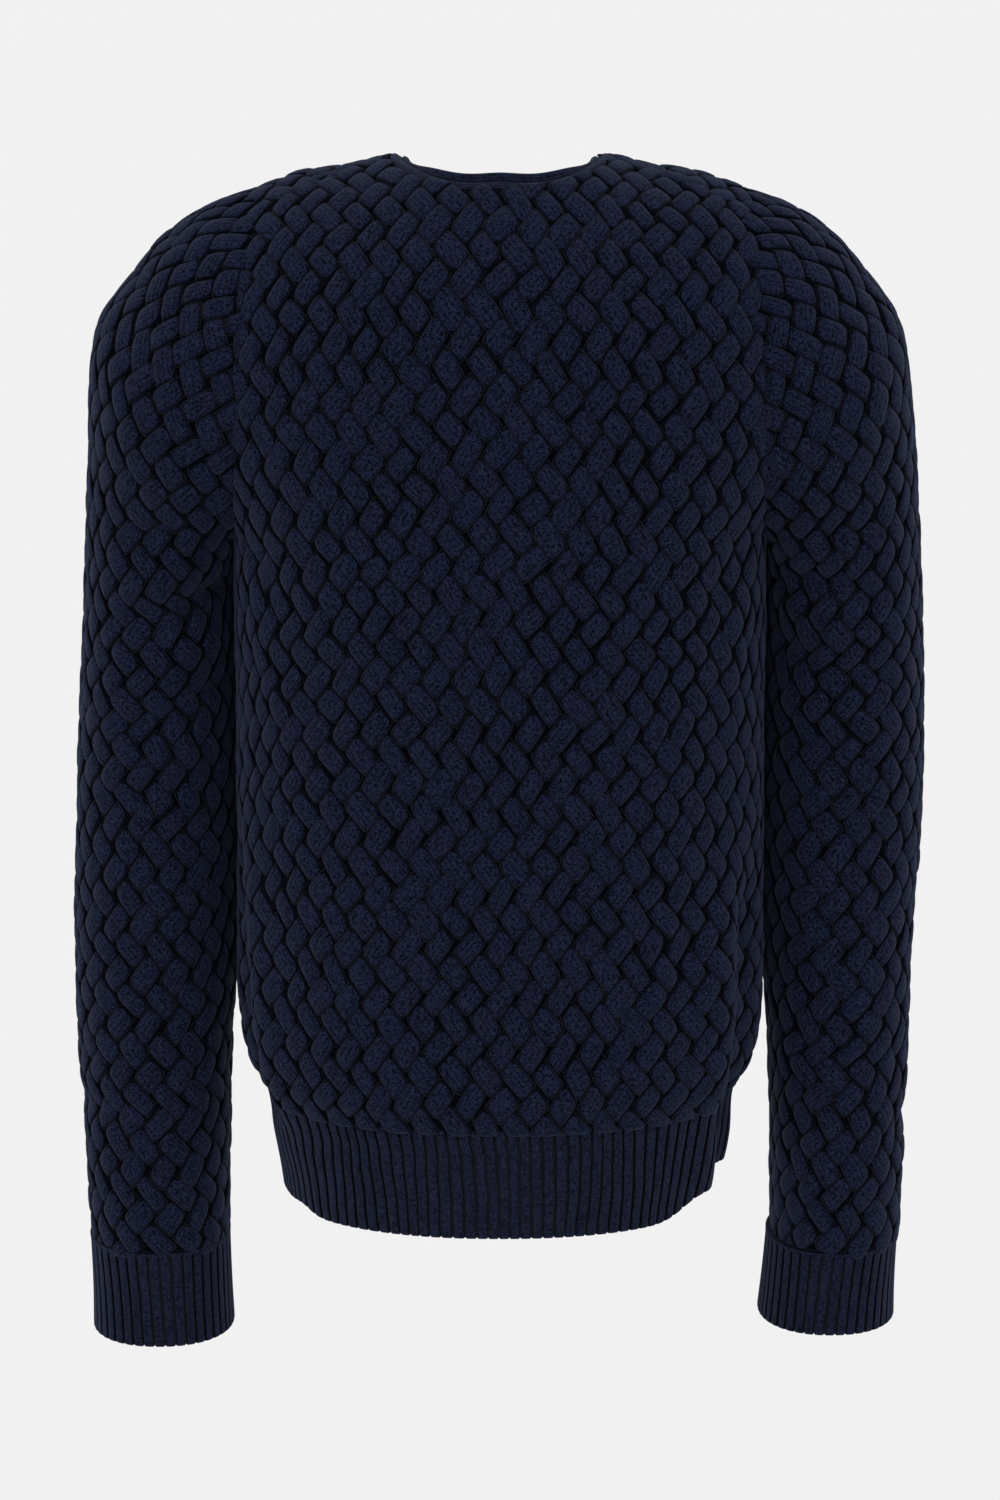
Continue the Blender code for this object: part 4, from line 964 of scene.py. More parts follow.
weave = {
    "along": 10,             # faces along and across one woven length
    "across": 8,
    "lean": 1.28,            # steps across for each row down, along its middle
    "reach": 0.620,          # half its length, in rows
    "halfWidth": 0.362,
    "blunt": 0.28,           # how much narrower it is at its very ends
    "curl": 112.0,           # how far its edges turn under, in degrees
    "square": 0.80,          # how flat its top is, 1 for a round one
    "sway": 0.00150,         # rise of its middle
    "dive": 2.05,            # how far its ends fall, in rises
    "thick": 0.00205,        # half its thickness
    "seamHeight": 0.75,      # how much of its height is left at the front bands
    "spillRadius": 0.050,    # how the cloth bends under a length that reaches past an edge
    "drift": 0.095,          # how far the rows wander, in steps
    "uneven": 0.120,         # and how much one length differs from the next
    "bluntPower": 5,         # how late it narrows, falls and thins towards its ends
    "divePower": 4.2,
    "thinPower": 4,
    "thin": 0.28,            # how much thinner its ends are
    "shadedSide": (0.69, 0.24),      # where painted shade darkens its sides and its ends, and over how much
    "shadedEnd": (0.62, 0.20),
    "mapLength": 0.0206,     # half its length and half its girth on the stitches' map
    "mapGirth": 0.0165,
    "inside": 0.0005,        # how deep a point lies to count as inside the panel
    "shownSpilling": 0.22,   # share of a length inside for it to be laid: at an edge that it may
    "shownPlain": 0.12,      # reach past, and at a plain one
    "probe": 0.003,          # how far inside an edge its direction is read
    "seamRise": 0.006,       # distance from a plain edge at which it has its full height
    "seamFall": 0.005,
    "spillLow": 0.5,         # how much lower it gets past an edge, and how far out
    "spillReach": 0.009,
    "armLow": 0.10,          # and in the fold under the arm
}


def wander(k, r, seed):
    # a slow, uneven drift of the rows
    waves = ((0.41, 0.23, 1.0), (0.17, -0.53, 2.1)), ((0.29, -0.37, 1.7), (0.61, 0.19, 0.6))
    return [weave["drift"] * sum(np.sin(k * a + r * b + c * seed) for a, b, c in pair)
            for pair in waves]


def wovenLengths(centres, seed):
    # every visible length of a plain weave set on the slant: its lattice places, heights and maps
    draw = np.random.default_rng(seed)
    n, m = weave["along"] + 1, weave["across"] + 1
    x = np.linspace(-1, 1, n)
    share, turn = np.meshgrid(
        1.3 * x - 0.3 * x ** 3, np.radians(np.linspace(-weave["curl"], weave["curl"], m)),
        indexing="ij")
    count = len(centres)
    long, wide, high, twist = 1 + weave["uneven"] * draw.uniform(-1, 1, (4, count, 1, 1))
    u = share[None] * weave["reach"] * long
    width = weave["halfWidth"] * wide
    width = width * (1 - weave["blunt"] * np.abs(share) ** weave["bluntPower"])
    v = width * signedPower(np.sin(turn), weave["square"])[None] + (twist - 1) * u
    sway = weave["sway"] * (1 - weave["dive"] * np.abs(share) ** weave["divePower"])
    thick = weave["thick"] * (1 - weave["thin"] * share ** weave["thinPower"])
    lift = (sway + thick * signedPower(np.cos(turn), weave["square"]))[None] * high
    slant = np.where(centres[:, 1] % 2 == 0, 1, -1)[:, None, None] * weave["lean"]
    k = centres[:, 0][:, None, None] + (u - v) * slant
    r = centres[:, 1][:, None, None] + u + v
    driftK, driftR = wander(k, r, seed)
    # painted shade on each length's sides and ends, where it meets and dives under its neighbours
    side = np.where(np.abs(turn) > math.pi / 2, 1.0, np.abs(np.sin(turn)))
    paintedShade = sum(ease((reach - start) / over) for reach, (start, over) in (
        (side, weave["shadedSide"]), (np.abs(share), weave["shadedEnd"])))
    mapped = np.stack([u * weave["mapLength"] + draw.uniform(0, 1, (count, 1, 1)),
                       turn[None] / np.pi * weave["mapGirth"] + 0 * u], -1)
    first = (np.arange(count) * n * m)[:, None, None]
    a = (np.arange(n - 1)[:, None] * m + np.arange(m - 1)[None])[None] + first
    quads = np.stack([a, a + 1, a + m + 1, a + m], -1)
    return {
        "k": (k + driftK).ravel(), "r": (r + driftR).ravel(), "lift": lift.ravel(),
        "tone": np.broadcast_to(draw.uniform(0, 1, (count, 1, 1)), u.shape).ravel(),
        "paintedShade": (np.clip(paintedShade, 0, 1) + 0 * u).ravel(), "uv": mapped.reshape(-1, 2),
        "quads": quads.reshape(-1, 4), "each": n * m, "faces": (n - 1) * (m - 1),
    }


def keepLengths(made, keep):
    # only the lengths that are kept, with their faces renumbered
    points = np.repeat(keep, made["each"])
    quads = made["quads"][np.repeat(keep, made["faces"])]
    kept = {name: made[name][points] for name in ("k", "r", "lift", "tone", "paintedShade", "uv")}
    kept["quads"] = (np.cumsum(points) - 1)[quads]
    return kept, points


def turnOutward(points, out, quads, faces):
    # turn round every length whose middle face looks inward
    middle = quads.reshape(-1, faces, 4)[:, faces // 2]
    a, b, c, d = (points[middle[:, i]] for i in range(4))
    facing = (np.cross(c - a, d - b) * out[middle[:, 0]]).sum(1)
    turned = np.repeat(facing < 0, faces)
    quads = quads.copy()
    quads[turned] = quads[turned][:, ::-1]
    return quads


def panelWeave(name, place, loop, spill, seed):
    # the woven lengths of one panel, laid one by one
    outline = flatten(loop)
    half = form["cellWidth"] / 2
    k, r = [v.ravel() for v in np.meshgrid(
        np.arange(math.floor(loop[:, 0].min() / half) - 1, math.ceil(loop[:, 0].max() / half) + 2),
        np.arange(math.floor(loop[:, 1].min()) - 1, math.ceil(loop[:, 1].max()) + 2))]
    pick = (k + r) % 2 == 0
    made = wovenLengths(np.stack([k[pick], r[pick]], 1), seed)
    places = np.stack([made["k"] * half, made["r"]], 1)
    depth, nearest, which = nearestEdge(outline, flatten(places))
    spare = spill[which]
    # a length shows if a fair part of it lies inside the panel
    inside = (depth > weave["inside"]).reshape(-1, made["each"]).mean(1)
    spilling = spare.reshape(-1, made["each"]).mean(1) > 0.001
    inside = inside > np.where(spilling, weave["shownSpilling"], weave["shownPlain"])
    kept, points = keepLengths(made, inside)
    places, depth, nearest, spare = [v[points] for v in (places, depth, nearest, spare)]
    outside = np.flatnonzero(depth < 0)
    inward = nearest[outside] + weave["probe"] * unit(nearest[outside] - flatten(places[outside]))
    places[outside] = nearest[outside] / np.array([1.0, form["rowHeight"]])
    base, out = place(places[:, 0], places[:, 1])
    anchor, _ = place(inward[:, 0], inward[:, 1] / form["rowHeight"])
    beyond = np.minimum(-depth[outside], spare[outside])
    base[outside] += unit(base[outside] - anchor) * beyond[:, None]
    base[outside] -= out[outside] * (beyond ** 2 / (2 * weave["spillRadius"]))[:, None]
    low = weave["seamHeight"]
    room = np.where(spare > 0, 1.0, low + (1 - low) * ease(depth / weave["seamRise"]))
    room[outside] = np.where(
        spare[outside] > 0, 1 - weave["spillLow"] * ease(beyond / weave["spillReach"]),
        low * (1 - ease(-depth[outside] / weave["seamFall"])))
    room *= (1 - weave["armLow"]) + weave["armLow"] * underarmRoom(base)
    spots = base + out * (kept["lift"] * room)[:, None]
    quads = turnOutward(spots, out, kept["quads"], made["faces"])
    piece = addPiece(name, spots, quads, weaveFinish, kept["uv"],
                     {"tone": kept["tone"], "paintedShade": kept["paintedShade"]})
    print(name, "made of", int(inside.sum()), "lengths")
    return piece


cloth = {
    "skin": 0.0002,          # how deep its outer skin lies, under the woven lengths
    "edgeRoom": 0.3,         # how near the edge its other points may lie, in steps
    "tone": 0.4,
    "sharp": 50,             # edges sharper than this many degrees stay sharp
}


def panelCloth(name, place, loop):
    # the thin cloth under the woven lengths, plain inside
    outline = flatten(loop)
    pitch = form["cellWidth"] / 2
    low, high = loop.min(0), loop.max(0)
    k, r = [v.ravel() for v in np.meshgrid(
        np.arange(math.ceil(low[0] / pitch), math.floor(high[0] / pitch) + 1),
        np.arange(math.ceil(low[1]), high[1], 0.5))]
    places = np.stack([k * pitch, r], 1)
    depth = nearestEdge(outline, flatten(places))[0]
    places = np.concatenate([loop, places[depth > cloth["edgeRoom"] * pitch]])
    count, edge = len(places), len(loop)
    spots = [tuple(p) for p in flatten(places)]
    _, _, faces, origin, _, _ = delaunay_2d_cdt(spots, [], [list(range(edge))], 1, 1e-9)
    outer = [[origin[v][0] for v in face] for face in faces]
    inner = [[v + count for v in face[::-1]] for face in outer]
    rim = [[i, (i + 1) % edge, (i + 1) % edge + count, i + count] for i in range(edge)]
    base, out = place(places[:, 0], places[:, 1])
    points = np.concatenate([base - out * cloth["skin"], base - out * form["wall"]])
    return finishCloth(name, points, outer + inner + rim, flatten(places), count)


def finishCloth(name, points, faces, flat, outerCount):
    # the outer skin is painted in full shade, standing for the shaded bottom of the grooves; the
    # inner one is plain
    paintedShade = np.where(np.arange(len(points)) < outerCount, 1.0, 0.0)
    piece = addPiece(name, points, faces, insideFinish, np.concatenate([flat, flat]),
                     {"tone": np.full(len(points), cloth["tone"]), "paintedShade": paintedShade})
    faceOutward(piece, cloth["sharp"])
    return piece


def sleeveShell(name, pattern):
    # the same thin cloth, as a tube
    grid, out, place = (v[::2, :-1:2] for v in (pattern.map.grid, pattern.map.out,
                                                pattern.map.flat))
    height, width = grid.shape[:2]
    points = np.concatenate([(grid - out * cloth["skin"]).reshape(-1, 3),
                             (grid - out * form["wall"]).reshape(-1, 3)])
    rows, turn = np.meshgrid(np.arange(height - 1), np.arange(width), indexing="ij")
    a, b = rows * width + turn, rows * width + (turn + 1) % width
    skin = np.stack([a, b, b + width, a + width], -1).reshape(-1, 4)
    ring = np.arange(width)
    after, deep = (ring + 1) % width, height * width
    rims = [np.stack([ring, after, after + deep, ring + deep], 1) + start
            for start in (0, (height - 1) * width)]
    faces = np.concatenate([skin, skin[:, ::-1] + deep, *rims])
    flat = np.stack([place.real.ravel(), place.imag.ravel()], 1)
    return finishCloth(name, points, faces, flat, deep)


# the back
halves = {side: HalfPanel(+1, side, 0.0, "back") for side in (+1, -1)}


def backPlace(s, r):
    points, out = halves[+1].place(np.abs(s), r)
    right, rightOut = halves[-1].place(np.abs(s), r)
    pick = (s >= 0)[:, None]
    return np.where(pick, points, right), np.where(pick, out, rightOut)


(leftLine, leftSpill), (rightLine, rightSpill) = halves[+1].outline(), halves[-1].outline()
hemAcross = np.linspace(leftLine[-1, 0], -rightLine[-1, 0], 60)[1:-1]
hemLine = np.stack([hemAcross, np.full_like(hemAcross, halves[+1].rows)], 1)
backLoop = np.concatenate([leftLine, hemLine, rightLine[1:][::-1] * np.array([-1.0, 1.0])])
backSpill = np.concatenate([leftSpill[:-1], np.full(len(hemLine) + 1, edgeSpill["rib"]),
                            rightSpill[1:][::-1]])
backCloth = panelCloth("backCloth", backPlace, backLoop)
backWeave = panelWeave("backWeave", backPlace, backLoop, backSpill, 3)
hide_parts("back")
print("back made")

# the fronts
necklines = {}
for side, word, seed in ((+1, "Left", 5), (-1, "Right", 8)):
    half = HalfPanel(-1, side, form["bandWidth"] / 2 + form["seamGap"], "front" + word)
    line, lineSpill = half.outline()
    hemAcross = np.linspace(line[-1, 0], half.xStart, 30)[1:]
    hemLine = np.stack([hemAcross, np.full_like(hemAcross, half.rows)], 1)
    r = np.linspace(half.rows, line[0, 1], 70)[1:-1]
    bandLine = np.stack([np.full_like(r, half.xStart), r], 1)
    loop = np.concatenate([line, hemLine, bandLine])
    spill = np.concatenate([lineSpill[:-1], np.full(len(hemLine), edgeSpill["rib"]),
                            np.full(len(bandLine) + 1, edgeSpill["band"])])
    frontCloth = panelCloth("front" + word + "Cloth", half.place, loop)
    frontWeave = panelWeave("front" + word + "Weave", half.place, loop, spill, seed)
    neckPlaces = half.neckline()[0]
    necklines[side] = half.place(neckPlaces[:, 0], neckPlaces[:, 1])
    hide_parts("front_" + word.lower())
    print("front made", word)

# the sleeves
for side, word, seed in ((+1, "Left", 11), (-1, "Right", 14)):
    pattern = SleevePattern(side, "sleeve" + word)
    sleeveCloth = sleeveShell("sleeve" + word + "Cloth", pattern)
    sleeveWeave = panelWeave("sleeve" + word + "Weave", pattern.place, *pattern.outline(), seed)
    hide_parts("sleeve_" + word.lower())
    print("sleeve made", word)


def loopShell(name, rows, closed, material, uv, attributes, sharp):
    # a closed shell from lines that go round its thickness, each line along its length
    depth, count = rows.shape[:2]
    last = count if closed else count - 1
    a, b = np.meshgrid(np.arange(depth), np.arange(last), indexing="ij")
    c, d = (a + 1) % depth, (b + 1) % count
    faces = np.stack([a * count + b, a * count + d, c * count + d, c * count + b], -1)
    faces = [list(face) for face in faces.reshape(-1, 4)]
    if not closed:
        faces += [[row * count for row in range(depth)],
                  [row * count + count - 1 for row in range(depth)]]
    piece = addPiece(name, rows.reshape(-1, 3), faces, material, uv.reshape(-1, 2),
                     {key: values.ravel() for key, values in attributes.items()})
    faceOutward(piece, sharp)
    return piece


ribs = {
    "pitch": 0.0076,          # from one rib of the hem to the next
    "furrow": 0.125,          # half a furrow's width, in ribs
    "wales": 4,               # columns of stitches on a rib
    "waleHeight": 0.00030,
    "samples": (0.0, 0.05, 0.10, 0.15, 0.2, 0.3, 0.4, 0.5, 0.6, 0.7, 0.8, 0.85, 0.90, 0.95),
    "levels": 18,             # level lines down a piece
    "lipHeight": 0.0008,      # the smooth roll at the top of a cuff
    "wander": 0.00060,        # how far a rib strays
    "rise": 0.0022,           # below its top edge a rib rises over this length
    "shadow": 0.0030,         # how far down the weave darkens it
    "edgeTurns": (25, 55, 90, 125, 155),     # the angles of a rolled edge
    "edgeReach": 0.8,
    "edgeStitch": 0.001,      # how the map runs on over the edges, and up inside
    "insideStart": 0.006,
    "insideStitch": 0.003,
    "sharp": 75,              # edges sharper than this many degrees stay sharp
}


def ribHeights(phase):
    # the height of a rib over its width, with its columns of stitches, and the painted shade in its
    # furrows
    near = np.minimum(phase, 1 - phase) / ribs["furrow"]
    wales = 0.5 - 0.5 * np.cos(2 * math.pi * ribs["wales"] * (phase - 0.1) / 0.8)
    height = form["ribHeight"] * ease(near * 0.9) + ribs["waleHeight"] * wales * ease(near - 1)
    return height, 1 - ease((near - 0.70) / 0.90)


def ribPlaces(count, closed=False):
    # shares of the way across a number of ribs, and each one's place on its own rib
    samples = np.array(ribs["samples"])
    share, phase = (np.arange(count)[:, None] + samples[None]).ravel(), np.tile(samples, count)
    if not closed:
        share, phase = np.append(share, count), np.append(phase, 0.0)
    return share / count, phase


def slowTone(where, total, count, seed):
    # a tone that drifts along a band
    draw = np.random.default_rng(seed)
    return 0.4 + 0.2 * np.interp(where, np.linspace(0, total, count), draw.uniform(-1, 1, count))


def ribbedShell(name, base, out, phase, closed, topLip, seed):
    # base: level lines down the piece; phase: each point's place on its rib
    height, furrow = ribHeights(phase)
    count = base.shape[1]
    drop = lengths(base[:, count // 2])
    start = ribs["lipHeight"] if topLip else 0.0
    fade = ease((drop - start) / ribs["rise"])[:, None]
    wall = form["ribWall"]
    up = height[None] * fade + topLip * (1 - fade)
    outer = base + out * up[:, :, None]
    inner = (base - out * wall)[::-1][::3]
    turns = np.radians(ribs["edgeTurns"])

    def rolledEdge(end, steps, sign):
        middle, radius = (up[end] - wall) / 2, (up[end] + wall) / 2
        reach = sign * radius * ribs["edgeReach"]
        return [base[end] + out[end] * (middle + radius * math.cos(a))[:, None]
                + np.array([0, 0, 1.0]) * (reach * math.sin(a))[:, None] for a in steps]

    lower, upper = rolledEdge(-1, turns, -1.0), rolledEdge(0, turns[::-1], 1.0)
    rows = [*outer, *lower, *inner, *upper]
    edge = ribs["edgeStitch"] * np.arange(len(turns))
    inside = drop[-1] + ribs["insideStart"] + ribs["insideStitch"] * np.arange(len(inner))
    down = np.concatenate([drop, drop[-1] + edge, inside, -edge])
    mapped = np.tile(down[:, None], (1, count))
    # painted shadow under the weave at the hem's top, and painted shade in the furrows and on both
    # rolled edges
    shadow = 0.9 * (1 - ease(drop / ribs["shadow"]))[:, None] * (topLip == 0)
    shadeRows = [*np.maximum(furrow[None] * fade, shadow), *[furrow * 0.7] * len(lower),
               *[furrow * 0.2] * len(inner), *[np.full(count, 0.85)] * len(upper)]
    draw = np.random.default_rng(seed)
    number = np.cumsum(np.diff(phase, prepend=phase[0]) < 0)
    tone = draw.uniform(0, 1, number[-1] + 1)[number]
    around = number * form["ribPitch"] + phase * form["ribPitch"]
    uv = np.stack([mapped, np.tile(around, (len(rows), 1))], -1)
    return loopShell(name, np.array(rows), closed, ribFinish, uv,
                     {"tone": np.tile(tone, (len(rows), 1)), "paintedShade": np.array(shadeRows)},
                     ribs["sharp"])


def hemRing(z):
    # one level line of the hem, from the front band's left edge round the back to the right
    xStart = form["bandWidth"] / 2 + form["seamGap"]
    quarters = {}
    for side in (+1, -1):
        for panel in (+1, -1):
            start = xStart if panel < 0 else 0.0
            line = ringCurve(z, panel, start) * np.array([side, 1.0, 1.0])
            line[-1, 1] = 0.0
            # a second line just below gives the fold its outward directions
            pair = np.stack([line, line - np.array([0, 0, 0.001])])
            quarters[panel, side] = settleFolds(pair, panel, side, start)[0]
    return np.concatenate([quarters[-1, +1], quarters[+1, +1][-2::-1],
                           quarters[+1, -1][1:], quarters[-1, -1][-2::-1]])


# where the hem's ribs lean: share of the way round, width, how far they are drawn along, by height
hemLeans = columns(("at", "width", "top", "end"), [
    (0.285, 0.050, -0.0105, +0.0020),
    (0.330, 0.045, +0.0060, -0.0010),
    (0.705, 0.050, +0.0070, -0.0016),
    (0.120, 0.060, -0.0050, +0.0010),
    (0.880, 0.060, +0.0055, 0.0),
])

# where the hem draws up: place across, reach, face (+ the back), rise of its lower edge and push
hemSides = columns(("x", "width", "face", "rise", "push"), [
    (-0.150, 0.022, +1, 0.020, +0.0030),
    (+0.146, 0.014, +1, 0.006, -0.0010),
])

hem = {
    "rolledUnder": 0.0016,    # how much of its height its rolled edge takes
    "frontShare": 0.75,       # how much of a drawn-up side shows on the other face of the body
    "faceFrom": -0.085,       # and where it turns from one to the other
    "faceOver": 0.090,
}


def hemShell():
    # the whole hem, from one front band round the back to the other
    heights = np.linspace(form["hemSeamZ"] - form["seamGap"], form["hemZ"] + hem["rolledUnder"],
                          ribs["levels"])
    lines = [hemRing(z) for z in heights]
    whole = lengths(lines[0])[-1]
    share, phase = ribPlaces(round(whole / ribs["pitch"]))
    base = []
    for level, line in enumerate(lines):
        down = level / (len(lines) - 1)
        moved = share.copy()
        for lean in eachRow(hemLeans):
            pull = lean["top"] * (1 - ease(down * 1.3)) + lean["end"] * ease(down)
            moved += pull * swell(share - lean["at"], lean["width"])
        stray = np.sin(share * 91 + down * 2.3) + np.sin(share * 57 - down * 3.1 + 1.3)
        moved += stray * ribs["wander"] / whole * ease(share * 30) * ease((1 - share) * 30)
        at = lengths(line)
        base.append(readAt(line, at, np.clip(moved, 0, 1) * at[-1]))
    base = np.array(base)
    out = -gridNormals(base)
    out[:, :, 2] = 0.0
    out = unit(out)
    # the hem draws up at the sides, with a small fold at each
    down = np.linspace(0, 1, len(base))
    rise, moved = np.zeros(len(share)), np.zeros(base.shape[:2])
    for side in eachRow(hemSides):
        reach = swell(base[0, :, 0] - side["x"], side["width"])
        facing = ease((base[0, :, 1] * side["face"] - hem["faceFrom"]) / hem["faceOver"])
        reach *= hem["frontShare"] + (1 - hem["frontShare"]) * facing
        rise += side["rise"] * reach
        moved += (side["push"] * reach)[None] * np.sin(np.pi * down ** 1.5)[:, None]
    base = base + out * moved[:, :, None]
    height = base[0, :, 2] - base[-1, :, 2]
    for c in range(base.shape[1]):
        base[:, c] = readAt(base[:, c], down, down * (1 - rise[c] / height[c]))
    return ribbedShell("hemRib", base, out, phase, False, 0.0, 21), whole


hemRib, hemAround = hemShell()
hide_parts("hem_rib")
print("hem rib made", len(hemRib.data.polygons))

cuffRibs = {
    "count": 42,
    "lip": 0.0021,            # height of the roll at its top
    "belly": 0.0016,          # how much it draws in between its ends
    "rolledUnder": 0.0014,
    "power": 2.2,             # squareness of its rings, 2 for an ellipse
    "points": 720,            # and points round each
    "wander": 0.0004,         # how far a rib strays, and all of them lean, in turns
    "lean": 0.010,
}


def cuffShell(cuff, word, seed):
    # one cuff, drawn in a little between its ends
    share, phase = ribPlaces(cuffRibs["count"], closed=True)
    base = []
    for down in np.linspace(0, 1, ribs["levels"]):
        inX, outX, depth = (mixed(cuff[name + "Top"], cuff[name + "End"], down)
                            for name in ("in", "out", "depth"))
        z = mixed(cuff["zTop"], cuff["zEnd"] + cuffRibs["rolledUnder"], down)
        belly = cuffRibs["belly"] * math.sin(math.pi * down)
        ring = section(
            np.array([outX - form["ribHeight"] - belly * 0.3, 0.0, z]),
            np.array([inX + form["ribHeight"] + belly * 0.2, 0.0, z]),
            depth - belly, cuff["midY"], cuffRibs["power"], cuffRibs["points"])
        at = lengths(ring)
        stray = np.sin(share * 44 + down * 2) + np.sin(share * 25 - down)
        moved = share + stray * cuffRibs["wander"]
        moved += cuffRibs["lean"] * (down - 0.5) * np.sin(share * 2 * math.pi + 0.8)
        base.append(readAt(ring, at, np.mod(moved, 1.0) * at[-1]))
    base = np.array(base) * np.array([cuff["side"], 1.0, 1.0])
    loop = np.concatenate([base, base[:, :1]], 1)
    out = -cuff["side"] * gridNormals(loop, closed=True)[:, :-1]
    out[:, :, 2] = 0.0
    return ribbedShell("cuff" + word, base, unit(out), phase, True, cuffRibs["lip"], seed)


for cuff, word, seed in zip(eachRow(cuffs), ("Left", "Right"), (31, 34)):
    cuffPiece = cuffShell(cuff, word, seed)
    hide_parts("cuff_" + word.lower())
    "sleeve" + word + "Cloth"
    print("cuff made", word, len(cuffPiece.data.polygons))

neckBand = {
    "stations": 420,
    "smoothing": 60,          # rounds that even out its line
    "height": 0.0140,
    "proud": 0.0010,          # how far it stands out, in the middle and at the shoulders
    "cornerProud": 0.0016,
    "cornerDroop": 0.0062,    # how far its edge bows down over the shoulder
    "cornerLift": 0.0012,     # and how far its strip fills out there
    "cornerLow": 0.12,        # and how much lower it is there
    "proudWidth": 0.017,      # how widely each of these spreads about the shoulder
    "lowWidth": 0.015,
    "droopWidth": 0.014,
    "lowShift": 0.004,        # how much nearer the neck it is lower
    "step": 0.0064,           # where the plain strip ends and the rolled edge begins
    "rollOut": 0.0027,        # half the roll's thickness and height
    "rollUp": 0.0027,
}


def neckBandShell():
    # the band along the neckline: a plain strip below, a rolled edge above
    backPlaces = halves[+1].neckline()[0]
    backLine, backOut = backPlace(backPlaces[:, 0], backPlaces[:, 1])
    mirror = np.array([-1.0, 1.0, 1.0])
    runs = [np.concatenate([left, back[-2::-1], back[1:-1] * mirror, right[::-1]])
            for left, back, right in zip(necklines[+1], (backLine, backOut), necklines[-1])]
    at = lengths(runs[0])
    where = np.linspace(0, at[-1], neckBand["stations"])
    line, normal = [readAt(values, at, where) for values in runs]
    for _ in range(neckBand["smoothing"]):
        line[1:-1] = line[1:-1] * 0.5 + (line[:-2] + line[2:]) * 0.25
        normal[1:-1] = normal[1:-1] * 0.5 + (normal[:-2] + normal[2:]) * 0.25
    normal = unit(normal)
    rise = unit(np.cross(unit(np.gradient(line, axis=0)), normal))
    # it always rises towards the neck's middle or up
    inward = np.stack([-np.sign(line[:, 0]), np.zeros(len(line)), np.full(len(line), 1.5)], 1)
    rise *= np.sign((rise * inward).sum(1))[:, None]
    rise[[0, -1], 0] = 0.0
    normal[[0, -1], 0] = 0.0
    start, high = form["neckBandGap"], neckBand["height"]
    step, rollUp, rollOut = neckBand["step"], neckBand["rollUp"], neckBand["rollOut"]
    corners = [(up, 0.0) for up in np.linspace(start, step - 0.0008, 5)]
    corners += [(step - 0.0002, -0.0006), (step + 0.0002, -0.0009)]
    corners += [(high - rollUp * (1 + math.cos(a)), rollOut * math.sin(a) - 0.0017)
                for a in np.radians(np.linspace(28, 255, 13))]
    corners += [(up, -form["neckBandThickness"]) for up in np.linspace(high - 0.0045, start, 4)]
    away = np.abs(line[:, 0]) - form["neckHalfWidth"]
    proud = neckBand["proud"] + neckBand["cornerProud"] * swell(away, neckBand["proudWidth"])
    low = 1 - neckBand["cornerLow"] * swell(away + neckBand["lowShift"], neckBand["lowWidth"])
    corner = swell(away, neckBand["droopWidth"])
    droop, lift = neckBand["cornerDroop"] * corner, neckBand["cornerLift"] * corner
    # how far each line of its outline stands proud, and fills out
    shares = [0.3] + [1.0] * 12 + [0.6, 0.3] + [0.0] * (len(corners) - 15)
    fills = [0.0, 0.4, 0.8, 1.0, 1.0, 1.2, 1.2] + [0.0] * (len(corners) - 7)
    rows = np.array([
        line + rise * (up * low)[:, None]
        + normal * (deep + proud * outer + lift * fill - droop * (up / high) ** 1.5)[:, None]
        for (up, deep), outer, fill in zip(corners, shares, fills)])
    uv = np.stack(np.broadcast_arrays(where[None], lengths(np.array(corners))[:, None]), -1)
    shape = rows.shape[:2]
    # painted shade along the band's lower edge and in the crease below its rolled edge
    paintedShade = np.zeros(shape)
    paintedShade[0] = 0.9
    paintedShade[4:8] = np.array([0.25, 0.8, 0.9, 0.4])[:, None]
    tone = slowTone(where, at[-1], 40, 41)
    return loopShell("neckBand", rows, False, bandFinish, uv,
                     {"tone": np.tile(tone, (shape[0], 1)), "paintedShade": paintedShade}, 60), at[-1]


neckPiece, neckAround = neckBandShell()
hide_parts("neck_band")
print("neck band made")


bandKnit = {
    "ribCount": 4,
    "levels": 90,             # points up to the middle of the armhole, and from there on
    "overChest": 14,
    "stations": 190,
    "roll": 0.0012,           # how round its edges are
    "border": 0.0035,         # the smooth edge beside its ribs
    "lining": 5,
}


def frontLine():
    # the middle of the front from the hem up to the top of the neck band, in (y, z)
    heights = np.linspace(form["hemZ"], armholeMidZ, bandKnit["levels"])
    points = [(-float(readColumn(body, "z", "front", z)), z) for z in heights]
    top = np.array([0.0, 0.0, float(readColumn(crest, "x", "z", 0.0))])
    level = np.array([0.0, points[-1][0], armholeMidZ])
    stop = neckAngle(top, level, -1)
    points += [arcPoint(top, level, a)[1:]
               for a in np.linspace(math.pi / 2, stop, bandKnit["overChest"])[1:]]
    points = np.array(points)
    tip = points[-1:] + unit(points[-1:] - points[-2:-1]) * form["neckBandHeight"]
    points = np.concatenate([points, tip])
    along = unit(np.gradient(points, axis=0))
    return points, np.stack([along[:, 1], -along[:, 0]], 1) * -1


